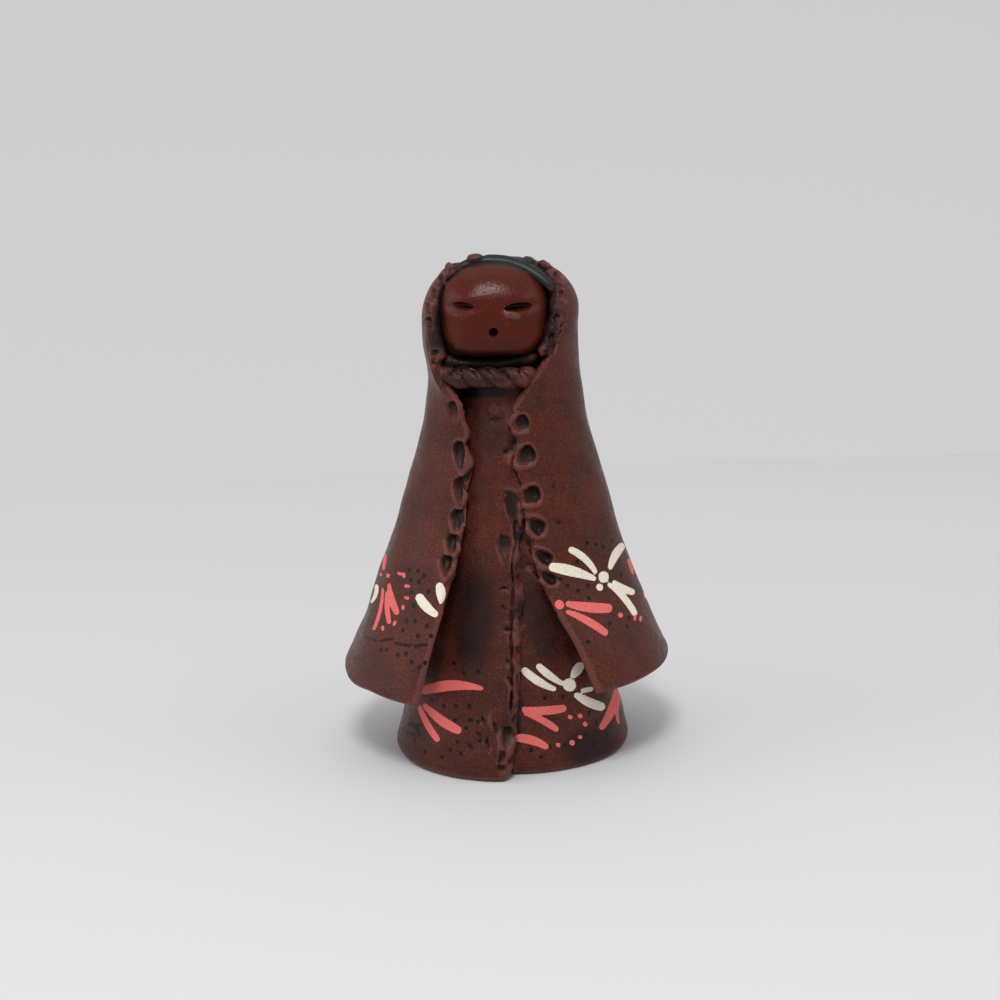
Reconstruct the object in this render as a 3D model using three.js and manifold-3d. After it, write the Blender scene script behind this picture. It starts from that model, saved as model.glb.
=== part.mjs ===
// A hand-built terracotta figurine of a woman in a long dress and a shawl, fired as one piece.
//
// The dress is a rolled slab of clay closed to a hollow cone, open underneath, with its outer end lapped over the
// front seam. A ball of clay is the head, with a thin strip for the hair. A twisted coil is the collar. A second
// slab is draped over the head and the shoulders as a shawl, and its front edges are pinched.
//
// Millimetres, +Z up. The figure faces -Y. The origin is on the surface that it stands on, in the middle of its box.
//
// The free form is given in hundredths of the figure's height. Walls, laps, slits and tool marks are real sizes.

import * as THREE from "three";
import { mergeVertices } from "three/addons/utils/BufferGeometryUtils.js";
import Module from "manifold-3d";

const wasm = await Module();
wasm.setup();

const figureHeight = 110;
const share = (hundredths) => (hundredths * figureHeight) / 100;

const dressWall = 2.6;
const lapAtHem = 4;
const lapAtWaist = 1.4;

const shawlThickness = 2.4;

const eyeLength = 5.2;
const eyeOpening = 1;
const eyeDepth = 1.3;
const mouthDiameter = 2;
const mouthDepth = 2.6;
const hairThickness = 0.8;

const collarStrandDiameter = 3.1;

const pinchLength = 4.4;
const pinchWidth = 3;
const pinchDepth = 1.1;

// The dress, from the foot up: height, half width, half depth.
const dressMiddle = { x: 0.3, y: 1 };
const dressRows = [
  [0, 22.7, 17.3],
  [2.5, 23.3, 17.8],
  [9, 21.9, 17.2],
  [20, 19.6, 16.2],
  [45, 14.6, 13.0],
  [62, 11.8, 10.9],
  [80, 9.2, 8.6],
];
const dressHollowTop = 66;
const lapStart = 0.75;

// The seam down the front of the dress: height, then distance to the wearer's left.
const seamRows = [
  [0, -2.2],
  [9, -0.8],
  [26, 0.5],
  [37, 1.3],
  [43, 0.5],
  [50, 1.9],
  [57, 2.7],
  [68, 1.9],
  [80, 2.6],
];
const seamNicks = [12, 20, 29, 38.3, 46, 54.2, 64.9, 71.2];

// The shawl's ribs, from the hem to the rim over the forehead. Each rib runs from the wearer's right edge round the
// back to the left edge: both edge points, the middle and half width at the rib's widest, how far along it that is,
// and the back point's depth and height.
const shawlRibs = [
  { right: [-17.6, -22.5, 17.5], left: [16.9, -21.5, 18.7], middle: -0.6, half: 32.8, widest: 0.46, back: [28.6, 20.5] },
  { right: [-15.5, -20.0, 27.7], left: [12.9, -19.6, 28.2], middle: -0.4, half: 28.3, widest: 0.46, back: [25.5, 30.0] },
  { right: [-12.0, -16.4, 38.6], left: [7.9, -16.0, 38.2], middle: -0.3, half: 24.3, widest: 0.46, back: [22.0, 41.8] },
  { right: [-9.7, -13.3, 47.7], left: [5.3, -14.2, 47.3], middle: 0, half: 21.2, widest: 0.46, back: [19.1, 52.3] },
  { right: [-8.3, -11.8, 56.4], left: [3.7, -13.1, 56.4], middle: 0.2, half: 18.6, widest: 0.46, back: [16.7, 62.3] },
  { right: [-7.7, -11.1, 65.5], left: [2.2, -12.2, 65.5], middle: 0.4, half: 16.0, widest: 0.46, back: [15.1, 71.8] },
  { right: [-8.3, -11.1, 72.7], left: [2.2, -12.0, 72.3], middle: 0.3, half: 14.9, widest: 0.46, back: [14.3, 80.0] },
  { right: [-12.1, -10.2, 77.5], left: [5.7, -11.6, 77.3], middle: 0, half: 14.8, widest: 0.46, back: [13.6, 86.4] },
  { right: [-13.6, -9.2, 82.3], left: [9.6, -10.4, 82.3], middle: -0.3, half: 15.0, widest: 0.45, back: [12.4, 91.8] },
  { right: [-13.9, -7.8, 88.2], left: [11.7, -8.4, 88.2], middle: -0.2, half: 14.7, widest: 0.42, back: [9.5, 96.6] },
  { right: [-12.3, -5.6, 93.7], left: [11.3, -6.0, 93.5], middle: -0.3, half: 12.7, widest: 0.34, back: [4.8, 99.3] },
  { right: [-9.8, -3.8, 97.3], left: [8.9, -4.0, 97.1], middle: -0.3, half: 9.8, widest: 0.2, back: [-0.6, 99.9] },
];

// Where the edges are pinched, as places along the ribs.
const rightPinches = [2.42, 2.86, 3.36, 4, 4.72, 6.1, 8, 9.05, 9.6, 10.25];
const leftPinches = [2.23, 2.72, 3.25, 3.97, 4.76, 5.6, 8.4, 9.1, 10];
const rimPinches = [-0.75, -0.4, 0, 0.4, 0.75];
const pinchInset = 2;

const head = {
  centre: [-1.6, -2.2, 90.5],
  halfWidth: 10.8,
  halfDepth: 9.8,
  above: 9.5,
  below: 8.8,
  roundAcross: 2.4,
  roundAbove: 2.3,
  roundBelow: 4,
  tiltBack: 6,
};
const eyeHeight = 92.7;
const eyeSpacing = 10.9;
const mouthHeight = 88.1;
const hairline = { depth: -4.5, lowest: 91, turn: 12 };

const collarPath = [
  [-11.9, -7.0, 79.4],
  [-8.2, -9.9, 79.2],
  [-2.6, -10.7, 79.0],
  [2.8, -10.2, 78.7],
  [6.4, -8.0, 78.3],
];
const collarTurns = 2.6;

// A smooth curve through a table whose rows start with their position: gives each other column's value there.
function through(rows) {
  const last = rows.length - 1;
  return (at) => {
    let i = 0;
    while (i < last - 1 && at > rows[i + 1][0]) i++;
    const before = rows[Math.max(i - 1, 0)];
    const start = rows[i];
    const end = rows[i + 1];
    const after = rows[Math.min(i + 2, last)];
    const span = end[0] - start[0];
    const t = THREE.MathUtils.clamp((at - start[0]) / span, 0, 1);
    const rise = t * t * (3 - 2 * t);
    const bendIn = t ** 3 - 2 * t ** 2 + t;
    const bendOut = t ** 3 - t ** 2;
    return start.slice(1).map((value, k) => {
      const slopeIn = ((end[k + 1] - before[k + 1]) * span) / (end[0] - before[0]);
      const slopeOut = ((after[k + 1] - value) * span) / (after[0] - start[0]);
      return THREE.MathUtils.lerp(value, end[k + 1], rise) + bendIn * slopeIn + bendOut * slopeOut;
    });
  };
}

// A closed geometry as a solid that can be joined and cut.
function solidOf(geometry) {
  const bare = new THREE.BufferGeometry();
  bare.setAttribute("position", geometry.attributes.position);
  bare.setIndex(geometry.index);
  const merged = mergeVertices(bare, 1e-4);
  return new wasm.Manifold(
    new wasm.Mesh({
      numProp: 3,
      vertProperties: merged.attributes.position.array,
      triVerts: new Uint32Array(merged.index.array),
    }),
  );
}

function solidFrom(points, triangles) {
  const geometry = new THREE.BufferGeometry().setFromPoints(points);
  geometry.setIndex(triangles);
  return solidOf(geometry);
}

// A solid through rings of equally many points, closed by a fan at each end. Seen along the way that the rings
// advance from behind, they turn clockwise.
function loft(rings) {
  const around = rings[0].length;
  const points = rings.flat();
  const triangles = [];
  for (let r = 0; r + 1 < rings.length; r++)
    for (let i = 0; i < around; i++) {
      const a = r * around + i;
      const b = r * around + ((i + 1) % around);
      triangles.push(a, b, b + around, a, b + around, a + around);
    }
  const close = (ring, first, outward) => {
    const middle = new THREE.Vector3();
    ring.forEach((p) => middle.addScaledVector(p, 1 / around));
    const centre = points.push(middle) - 1;
    for (let i = 0; i < around; i++) {
      const a = first + i;
      const b = first + ((i + 1) % around);
      triangles.push(centre, ...(outward ? [a, b] : [b, a]));
    }
  };
  close(rings[0], 0, false);
  close(rings.at(-1), (rings.length - 1) * around, true);
  return solidFrom(points, triangles);
}

// A slab of clay between two grids of points with the same rows and columns.
function slab(outer, inner) {
  const rows = outer.length;
  const columns = outer[0].length;
  const points = [...outer.flat(), ...inner.flat()];
  const under = rows * columns;
  const at = (r, c) => r * columns + c;
  const triangles = [];
  const quad = (a, b, c, d) => triangles.push(a, b, c, a, c, d);
  for (let r = 0; r + 1 < rows; r++)
    for (let c = 0; c + 1 < columns; c++) {
      quad(at(r, c), at(r, c + 1), at(r + 1, c + 1), at(r + 1, c));
      quad(under + at(r, c), under + at(r + 1, c), under + at(r + 1, c + 1), under + at(r, c + 1));
    }
  const rim = (a, b) => quad(a, under + a, under + b, b);
  for (let c = 0; c + 1 < columns; c++) {
    rim(at(0, c), at(0, c + 1));
    rim(at(rows - 1, c + 1), at(rows - 1, c));
  }
  for (let r = 0; r + 1 < rows; r++) {
    rim(at(r + 1, 0), at(r, 0));
    rim(at(r, columns - 1), at(r + 1, columns - 1));
  }
  return solidFrom(points, triangles);
}

// A rounded tool mark pressed into the clay: lies along a direction, faces a normal, and has the given length,
// width and depth.
function dent(centre, along, normal, length, width, depth) {
  const geometry = new THREE.SphereGeometry(1, 8, 5);
  geometry.scale(length / 2, width / 2, depth);
  const z = normal.clone().normalize();
  const y = z.clone().cross(along).normalize();
  const x = y.clone().cross(z);
  geometry.applyMatrix4(new THREE.Matrix4().makeBasis(x, y, z).setPosition(centre));
  return solidOf(geometry);
}

// Dress

const dressAt = through(dressRows);
const seamAt = through(seamRows);

// A point at a height in hundredths. Turn runs from the seam, 0, past the wearer's left side and the back to the
// seam again, 1. Out is how far the point stands off the dress's plain form.
function dressPoint(height, turn, out) {
  const [halfWidth, halfDepth] = dressAt(height).map(share);
  const [seam] = seamAt(height).map(share);
  const angle = Math.asin(seam / halfWidth) + turn * 2 * Math.PI;
  return new THREE.Vector3(
    share(dressMiddle.x) + (halfWidth + out) * Math.sin(angle),
    share(dressMiddle.y) - (halfDepth + out) * Math.cos(angle),
    share(height),
  );
}

// How far the slab's outer end stands off where it comes round to the seam.
function lapAt(height, turn) {
  const lap = THREE.MathUtils.lerp(lapAtHem, lapAtWaist, THREE.MathUtils.smoothstep(height, 0, 40));
  return lap * THREE.MathUtils.smoothstep(turn, lapStart, 1);
}

function dress() {
  const columns = 44;
  const heights = [0, 1, 3, 7, 12, 18, 26, 34, 42, 50, 58, 68, 80];
  const ring = (height) =>
    Array.from({ length: columns + 1 }, (_, i) => {
      const turn = i / columns;
      return dressPoint(height, turn, lapAt(height, turn));
    });
  return loft(heights.map(ring));
}

function dressHollow() {
  const columns = 28;
  const rows = 5;
  const ring = (height) => Array.from({ length: columns }, (_, i) => dressPoint(height, i / columns, -dressWall));
  const rings = Array.from({ length: rows + 1 }, (_, r) => ring((r / rows) * dressHollowTop));
  const mouth = rings[0].map((p) => p.clone().setZ(-1));
  return loft([mouth, ...rings]);
}

function seamMarks() {
  return seamNicks.map((height, i) => {
    const slip = i % 2 ? 0.004 : 0.012;
    const here = dressPoint(height, 1 - slip, lapAt(height, 1));
    const above = dressPoint(height + 1, 1 - slip, lapAt(height + 1, 1));
    const normal = here.clone().sub(new THREE.Vector3(share(dressMiddle.x), share(dressMiddle.y), here.z));
    return dent(here, above.sub(here), normal, pinchLength, 0.8 * pinchWidth, pinchDepth);
  });
}

// Shawl

const ribAt = through(
  shawlRibs.map((rib, i) => [i, ...rib.right, ...rib.left, rib.middle, rib.half, rib.widest, ...rib.back]),
);
const rimRib = shawlRibs.length - 1;

// A point of the shawl's outer face. Rib counts from the hem, 0, to the rim over the forehead. Across runs from the
// wearer's right edge, -1, round the back, 0, to the left edge, 1.
function shawlPoint(rib, across) {
  const [rightX, rightY, rightZ, leftX, leftY, leftZ, middle, half, widest, backY, backZ] = ribAt(rib);
  const [edgeX, edgeY, edgeZ] = across < 0 ? [rightX, rightY, rightZ] : [leftX, leftY, leftZ];
  const edgeAngle = Math.asin(Math.min(Math.abs(edgeX - middle) / half, 1));
  const angle = THREE.MathUtils.lerp(Math.PI, edgeAngle, Math.abs(across));
  const forward = Math.cos(angle);
  const along = forward > 0 ? widest * (1 - forward / Math.cos(edgeAngle)) : widest - (1 - widest) * forward;
  return new THREE.Vector3(
    share(middle + Math.sign(across) * half * Math.sin(angle)),
    share(THREE.MathUtils.lerp(edgeY, backY, along)),
    share(THREE.MathUtils.lerp(edgeZ, backZ, along)),
  );
}

const nearby = 0.01;

function alongEdge(rib, across) {
  const low = Math.max(rib - nearby, 0);
  const high = Math.min(rib + nearby, rimRib);
  return shawlPoint(high, across).sub(shawlPoint(low, across)).normalize();
}

function alongRib(rib, across) {
  const right = Math.max(across - nearby, -1);
  const left = Math.min(across + nearby, 1);
  return shawlPoint(rib, left).sub(shawlPoint(rib, right)).normalize();
}

function shawlNormal(rib, across) {
  return alongEdge(rib, across).cross(alongRib(rib, across)).normalize();
}

function underShawl(rib, across, depth) {
  return shawlPoint(rib, across).addScaledVector(shawlNormal(rib, across), -depth);
}

function shawl() {
  const rows = 24;
  const columns = 36;
  const grid = (depth) =>
    Array.from({ length: rows + 1 }, (_, r) =>
      Array.from({ length: columns + 1 }, (_, c) => underShawl((r / rows) * rimRib, 1 - (2 * c) / columns, depth)),
    );
  return slab(grid(0), grid(shawlThickness));
}

// The clay inside the shawl that joins it to the shoulders and to the back of the head.
function shoulders() {
  const lowestRib = 4.6;
  const highestRib = rimRib - 0.5;
  const front = share(-2.5);
  const rows = 10;
  const columns = 28;
  const ring = (rib) =>
    Array.from({ length: columns + 1 }, (_, c) => {
      const point = underShawl(rib, 1 - (2 * c) / columns, shawlThickness / 2);
      return point.setY(Math.max(point.y, front));
    });
  return loft(
    Array.from({ length: rows + 1 }, (_, r) => ring(THREE.MathUtils.lerp(lowestRib, highestRib, r / rows))),
  );
}

function shawlPinches() {
  const edgePinch = (rib, side) => {
    const edge = shawlPoint(rib, side);
    const inward = alongRib(rib, side).multiplyScalar(-side * pinchInset);
    return dent(
      edge.add(inward),
      alongEdge(rib, side),
      shawlNormal(rib, side),
      pinchLength,
      pinchWidth,
      pinchDepth,
    );
  };
  const rimPinch = (across) => {
    const inward = alongEdge(rimRib, across).multiplyScalar(-pinchInset);
    return dent(
      shawlPoint(rimRib, across).add(inward),
      alongRib(rimRib, across),
      shawlNormal(rimRib, across),
      pinchLength,
      pinchWidth,
      pinchDepth,
    );
  };
  return [
    ...rightPinches.map((rib) => edgePinch(rib, -1)),
    ...leftPinches.map((rib) => edgePinch(rib, 1)),
    ...rimPinches.map(rimPinch),
  ];
}

// Head

const headCentre = new THREE.Vector3(...head.centre.map(share));
const headTilt = new THREE.Matrix4().makeRotationX(THREE.MathUtils.degToRad(-head.tiltBack));

// The head's surface in a direction of its own, pushed out by a thickness.
function headPoint(direction, out) {
  const across = head.roundAcross;
  const level =
    (Math.abs(direction.x / head.halfWidth) ** across + Math.abs(direction.y / head.halfDepth) ** across) **
    (1 / across);
  const upright = Math.abs(direction.z) / (direction.z > 0 ? head.above : head.below);
  const round = direction.z > 0 ? head.roundAbove : head.roundBelow;
  const reach = share((level ** round + upright ** round) ** (-1 / round)) + out;
  return direction.clone().multiplyScalar(reach).applyMatrix4(headTilt).add(headCentre);
}

function headBall(out) {
  const across = 24;
  const down = 12;
  const ring = (polar) =>
    Array.from({ length: across }, (_, c) => {
      const turn = (2 * Math.PI * c) / across;
      const flat = Math.sin(polar);
      const direction = new THREE.Vector3(flat * Math.cos(turn), flat * Math.sin(turn), Math.cos(polar));
      return headPoint(direction, out);
    });
  return loft(Array.from({ length: down - 1 }, (_, r) => ring(Math.PI * (1 - (r + 1) / down))));
}

// The point of the face at a distance to the wearer's left of its middle and at a height.
function facePoint(aside, height) {
  const target = new THREE.Vector3(headCentre.x + share(aside), headCentre.y - share(head.halfDepth), share(height));
  const untilt = headTilt.clone().invert();
  for (let pass = 0; pass < 8; pass++) {
    const direction = target.clone().sub(headCentre).applyMatrix4(untilt).normalize();
    target.y = headPoint(direction, 0).y;
  }
  return target;
}

function faceCuts() {
  const level = new THREE.Vector3(1, 0, 0);
  const forward = new THREE.Vector3(0, -1, 0);
  const eye = (side) =>
    dent(facePoint((side * eyeSpacing) / 2, eyeHeight), level, forward, eyeLength, eyeOpening, eyeDepth);
  const mouth = dent(facePoint(0, mouthHeight), level, forward, mouthDiameter, mouthDiameter, mouthDepth);
  return [eye(-1), eye(1), mouth];
}

function hair() {
  const size = 4 * share(head.halfWidth);
  const behind = new THREE.BoxGeometry(size, size, size).translate(0, size / 2, size / 2);
  behind.rotateZ(THREE.MathUtils.degToRad(-hairline.turn));
  behind.translate(headCentre.x, share(hairline.depth), share(hairline.lowest));
  return headBall(hairThickness).intersect(solidOf(behind));
}

// Collar

class Strand extends THREE.Curve {
  constructor(path, start) {
    super();
    this.path = path;
    this.start = start;
  }

  getPoint(t, target = new THREE.Vector3()) {
    const along = this.path.getTangentAt(t);
    const up = new THREE.Vector3(0, 0, 1);
    const aside = along.clone().cross(up).normalize();
    const phase = this.start + t * collarTurns * 2 * Math.PI;
    const reach = 0.36 * collarStrandDiameter;
    return target
      .copy(this.path.getPointAt(t))
      .addScaledVector(aside, reach * Math.cos(phase))
      .addScaledVector(up, reach * Math.sin(phase));
  }
}

function collar() {
  const path = new THREE.CatmullRomCurve3(collarPath.map((p) => new THREE.Vector3(...p.map(share))));
  const sides = 8;
  const section = new THREE.Shape(
    new THREE.Path().absarc(0, 0, collarStrandDiameter / 2, 0, 2 * Math.PI).getSpacedPoints(sides).slice(0, sides),
  );
  const strand = (start) =>
    solidOf(
      new THREE.ExtrudeGeometry(section, { steps: 24, bevelEnabled: false, extrudePath: new Strand(path, start) }),
    );
  return strand(0).add(strand(Math.PI));
}

function figurineSolid() {
  const clay = [shawl(), shoulders(), headBall(0), hair(), collar()];
  const cuts = [...seamMarks(), ...shawlPinches(), ...faceCuts(), dressHollow()];
  const whole = clay.reduce((sum, piece) => sum.add(piece), dress());
  return cuts.reduce((rest, cut) => rest.subtract(cut), whole);
}

function figurineGeometry() {
  const mesh = figurineSolid().getMesh();
  const geometry = new THREE.BufferGeometry();
  geometry.setAttribute("position", new THREE.BufferAttribute(mesh.vertProperties, 3));
  geometry.setIndex(new THREE.BufferAttribute(mesh.triVerts, 1));
  geometry.computeBoundingBox();
  const { min, max } = geometry.boundingBox;
  geometry.translate(-(min.x + max.x) / 2, -(min.y + max.y) / 2, -min.z);
  return geometry;
}

const redBrownClay = new THREE.MeshStandardMaterial({ color: 0x5a2f28, roughness: 0.55, metalness: 0 });

const figurine = new THREE.Mesh(figurineGeometry(), redBrownClay);
figurine.name = "figurine";

const group = new THREE.Group();
group.add(figurine);

export default group;
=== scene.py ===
"""A hand-built terracotta figurine of a woman in a long dress and a shawl, in plain studio light.

The clay is modelled in millimetres in its own frame: +Z up, the figure faces -Y, and the dress stands
over the origin. The same ribs and rows as the solid's give every large form, and this script adds the
finger work, the face, the paint and the fired surface. The finished piece is then moved and scaled into
the row frame, in metres.
"""

import logging
import math
from dataclasses import dataclass, field
from enum import Enum

import bpy
import numpy as np
from mathutils import Matrix, Vector
from mathutils.bvhtree import BVHTree


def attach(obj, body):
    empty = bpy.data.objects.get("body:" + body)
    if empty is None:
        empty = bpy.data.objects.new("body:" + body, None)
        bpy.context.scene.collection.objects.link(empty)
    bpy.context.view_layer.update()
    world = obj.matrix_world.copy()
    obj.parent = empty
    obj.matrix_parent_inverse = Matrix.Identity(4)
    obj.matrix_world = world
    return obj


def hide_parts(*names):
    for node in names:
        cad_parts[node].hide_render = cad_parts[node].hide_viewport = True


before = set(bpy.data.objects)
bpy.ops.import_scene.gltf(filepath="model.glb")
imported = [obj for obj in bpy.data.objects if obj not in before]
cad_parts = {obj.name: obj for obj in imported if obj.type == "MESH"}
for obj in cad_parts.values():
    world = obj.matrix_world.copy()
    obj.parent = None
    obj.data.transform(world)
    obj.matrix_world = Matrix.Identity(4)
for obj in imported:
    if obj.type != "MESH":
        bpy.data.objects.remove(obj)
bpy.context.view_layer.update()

log = logging.getLogger("figurine")

NODE = "figurine"
BODY = "root"
MM = 0.001
HEIGHT = 110.0
SHARE = HEIGHT / 100.0
THINNED_TRIANGLES = 185000

# From the clay's own frame to the row frame, in millimetres
SHIFT = Vector((0.632, -3.375, 0.0))

# Millimetres in a pixel of the photograph's view, where the figure stands
PIXEL = 0.217

# What stands for a sight line that misses the clay, and for a place away from every mark
MISSED = 999.0
FAR_OFF = 9.0


def smooth_step(value: np.ndarray) -> np.ndarray:
    """An eased ramp from 0 to 1."""
    t = np.clip(value, 0.0, 1.0)
    return t * t * (3.0 - 2.0 * t)


def unit(vectors: np.ndarray) -> np.ndarray:
    """Vectors of length one, along the last axis."""
    return vectors / np.maximum(np.linalg.norm(vectors, axis=-1, keepdims=True), 1e-9)


class SmoothTable:
    """A smooth curve through a table whose rows start with their position."""

    def __init__(self, rows: list[list[float]]) -> None:
        """Keeps the rows.

        Args:
            rows: each row's position, then its values.
        """
        table = np.array(rows, dtype=float)
        self.place = table[:, 0]
        self.value = table[:, 1:]

    def at(self, where: np.ndarray) -> np.ndarray:
        """The values at some positions.

        Args:
            where: positions, of any shape.

        Returns:
            An array with one more axis, the table's columns.
        """
        where = np.asarray(where, dtype=float)
        last = len(self.place) - 1
        i = np.clip(np.searchsorted(self.place, where, side="left") - 1, 0, last - 1)
        low, high = np.maximum(i - 1, 0), np.minimum(i + 2, last)
        span = self.place[i + 1] - self.place[i]
        t = np.clip((where - self.place[i]) / span, 0.0, 1.0)[..., None]
        start, end = self.value[i], self.value[i + 1]
        in_span = (span / (self.place[i + 1] - self.place[low]))[..., None]
        out_span = (span / (self.place[high] - self.place[i]))[..., None]
        slope_in = (end - self.value[low]) * in_span
        slope_out = (self.value[high] - start) * out_span
        rise = t * t * (3.0 - 2.0 * t)
        bend_in = t**3 - 2.0 * t**2 + t
        bend_out = t**3 - t**2
        return start + (end - start) * rise + bend_in * slope_in + bend_out * slope_out


@dataclass
class ClayMesh:
    """A closed mesh in millimetres."""

    points: np.ndarray
    faces: list[tuple[int, ...]]

    def to_object(self, name: str) -> bpy.types.Object:
        """The mesh as a Blender object, still in millimetres.

        Args:
            name: the object's name.

        Returns:
            The object, linked to the scene.
        """
        mesh = bpy.data.meshes.new(name)
        mesh.from_pydata(self.points.tolist(), [], self.faces)
        mesh.update()
        obj = bpy.data.objects.new(name, mesh)
        bpy.context.scene.collection.objects.link(obj)
        return obj


def rounding(radius: float, steps: int) -> np.ndarray:
    """How far in from an edge the lines lie that turn round it, the outermost first."""
    return radius * (1.0 - np.cos(np.linspace(0.0, math.pi / 2.0, steps + 1)[:-1]))


def ball(across: int, down: int) -> np.ndarray:
    """Directions in level rings, from the lowest up and without the two poles.

    Args:
        across: how many there are in a ring.
        down: how many steps there are from pole to pole.

    Returns:
        Unit vectors, in rows of one ring each.
    """
    polar = math.pi * (1.0 - np.arange(1, down) / down)
    turn = 2.0 * math.pi * np.arange(across) / across
    flat = np.sin(polar)[:, None]
    upright = np.broadcast_to(np.cos(polar)[:, None], (down - 1, across))
    return np.stack([flat * np.cos(turn), flat * np.sin(turn), upright], axis=-1)


def loft(rings: np.ndarray) -> ClayMesh:
    """A closed mesh through rings that turn anticlockwise seen from above and go up.

    Args:
        rings: an array of rings, points and coordinates.

    Returns:
        The mesh, closed by a fan at each end.
    """
    count, around, _ = rings.shape
    index = np.arange(count * around).reshape(count, around)
    turned = np.roll(index, -1, axis=1)
    quads = np.stack([index[:-1], turned[:-1], turned[1:], index[1:]], axis=-1).reshape(-1, 4)
    points = np.concatenate([rings.reshape(-1, 3), rings[0].mean(0)[None], rings[-1].mean(0)[None]])
    foot, top = count * around, count * around + 1
    faces = [tuple(quad) for quad in quads.tolist()]
    faces += [(foot, b, a) for a, b in zip(index[0].tolist(), turned[0].tolist())]
    faces += [(top, a, b) for a, b in zip(index[-1].tolist(), turned[-1].tolist())]
    return ClayMesh(points, faces)


def round_ends(t: np.ndarray, share: float, least: float) -> np.ndarray:
    """How thick a roll is along its length when its ends are round.

    Args:
        t: places along it, from 0 to 1.
        share: how much of its length one end takes.
        least: the square of its thickness at the very end.

    Returns:
        The thickness, 1 between the ends.
    """
    from_middle = (1.0 - np.minimum(t, 1.0 - t) / share).clip(0.0, 1.0)
    return np.sqrt(np.clip(1.0 - from_middle**2, least, 1.0))


def tube(line: np.ndarray, radius: np.ndarray, turn: np.ndarray, up: np.ndarray) -> ClayMesh:
    """A closed tube along a line.

    Args:
        line: points along its middle.
        radius: rows with the radius at each point, for each turn or for all of them.
        turn: the angles of a ring's points, in radians.
        up: a direction that the line never takes.

    Returns:
        The closed tube.
    """
    heading = unit(np.gradient(line, axis=0))
    side = unit(np.cross(heading, up))
    rise = np.cross(side, heading)
    ring = np.cos(turn)[None, :, None] * side[:, None] - np.sin(turn)[None, :, None] * rise[:, None]
    return loft(line[:, None] + radius[..., None] * ring)


@dataclass(frozen=True)
class Scallop:
    """A place along an edge where pinching has squeezed the clay outward."""

    place: float
    length: float = 4.6
    bulge: float = 0.8
    spread: float = 0.42
    dip: float = 0.35

    def push(self, points: np.ndarray, edge: np.ndarray, along: np.ndarray) -> np.ndarray:
        """How far the edge stands out.

        Args:
            points: points of the slab.
            edge: the scallop's middle, on the edge.
            along: the unit direction up the edge.

        Returns:
            The push of each point, in millimetres.
        """
        away = points - edge
        up = (away @ along) / (self.spread * self.length)
        near = np.linalg.norm(away, axis=-1) < 2.0 * self.length
        return np.where(near, self.bulge * (np.exp(-(up**2)) - self.dip), 0.0)


def pinches(*rows: tuple[float, ...]) -> tuple[Scallop, ...]:
    """Scallops from rows with their place and, where it isn't the usual one, their length and bulge."""
    return tuple(Scallop(*row) for row in rows)


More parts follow.
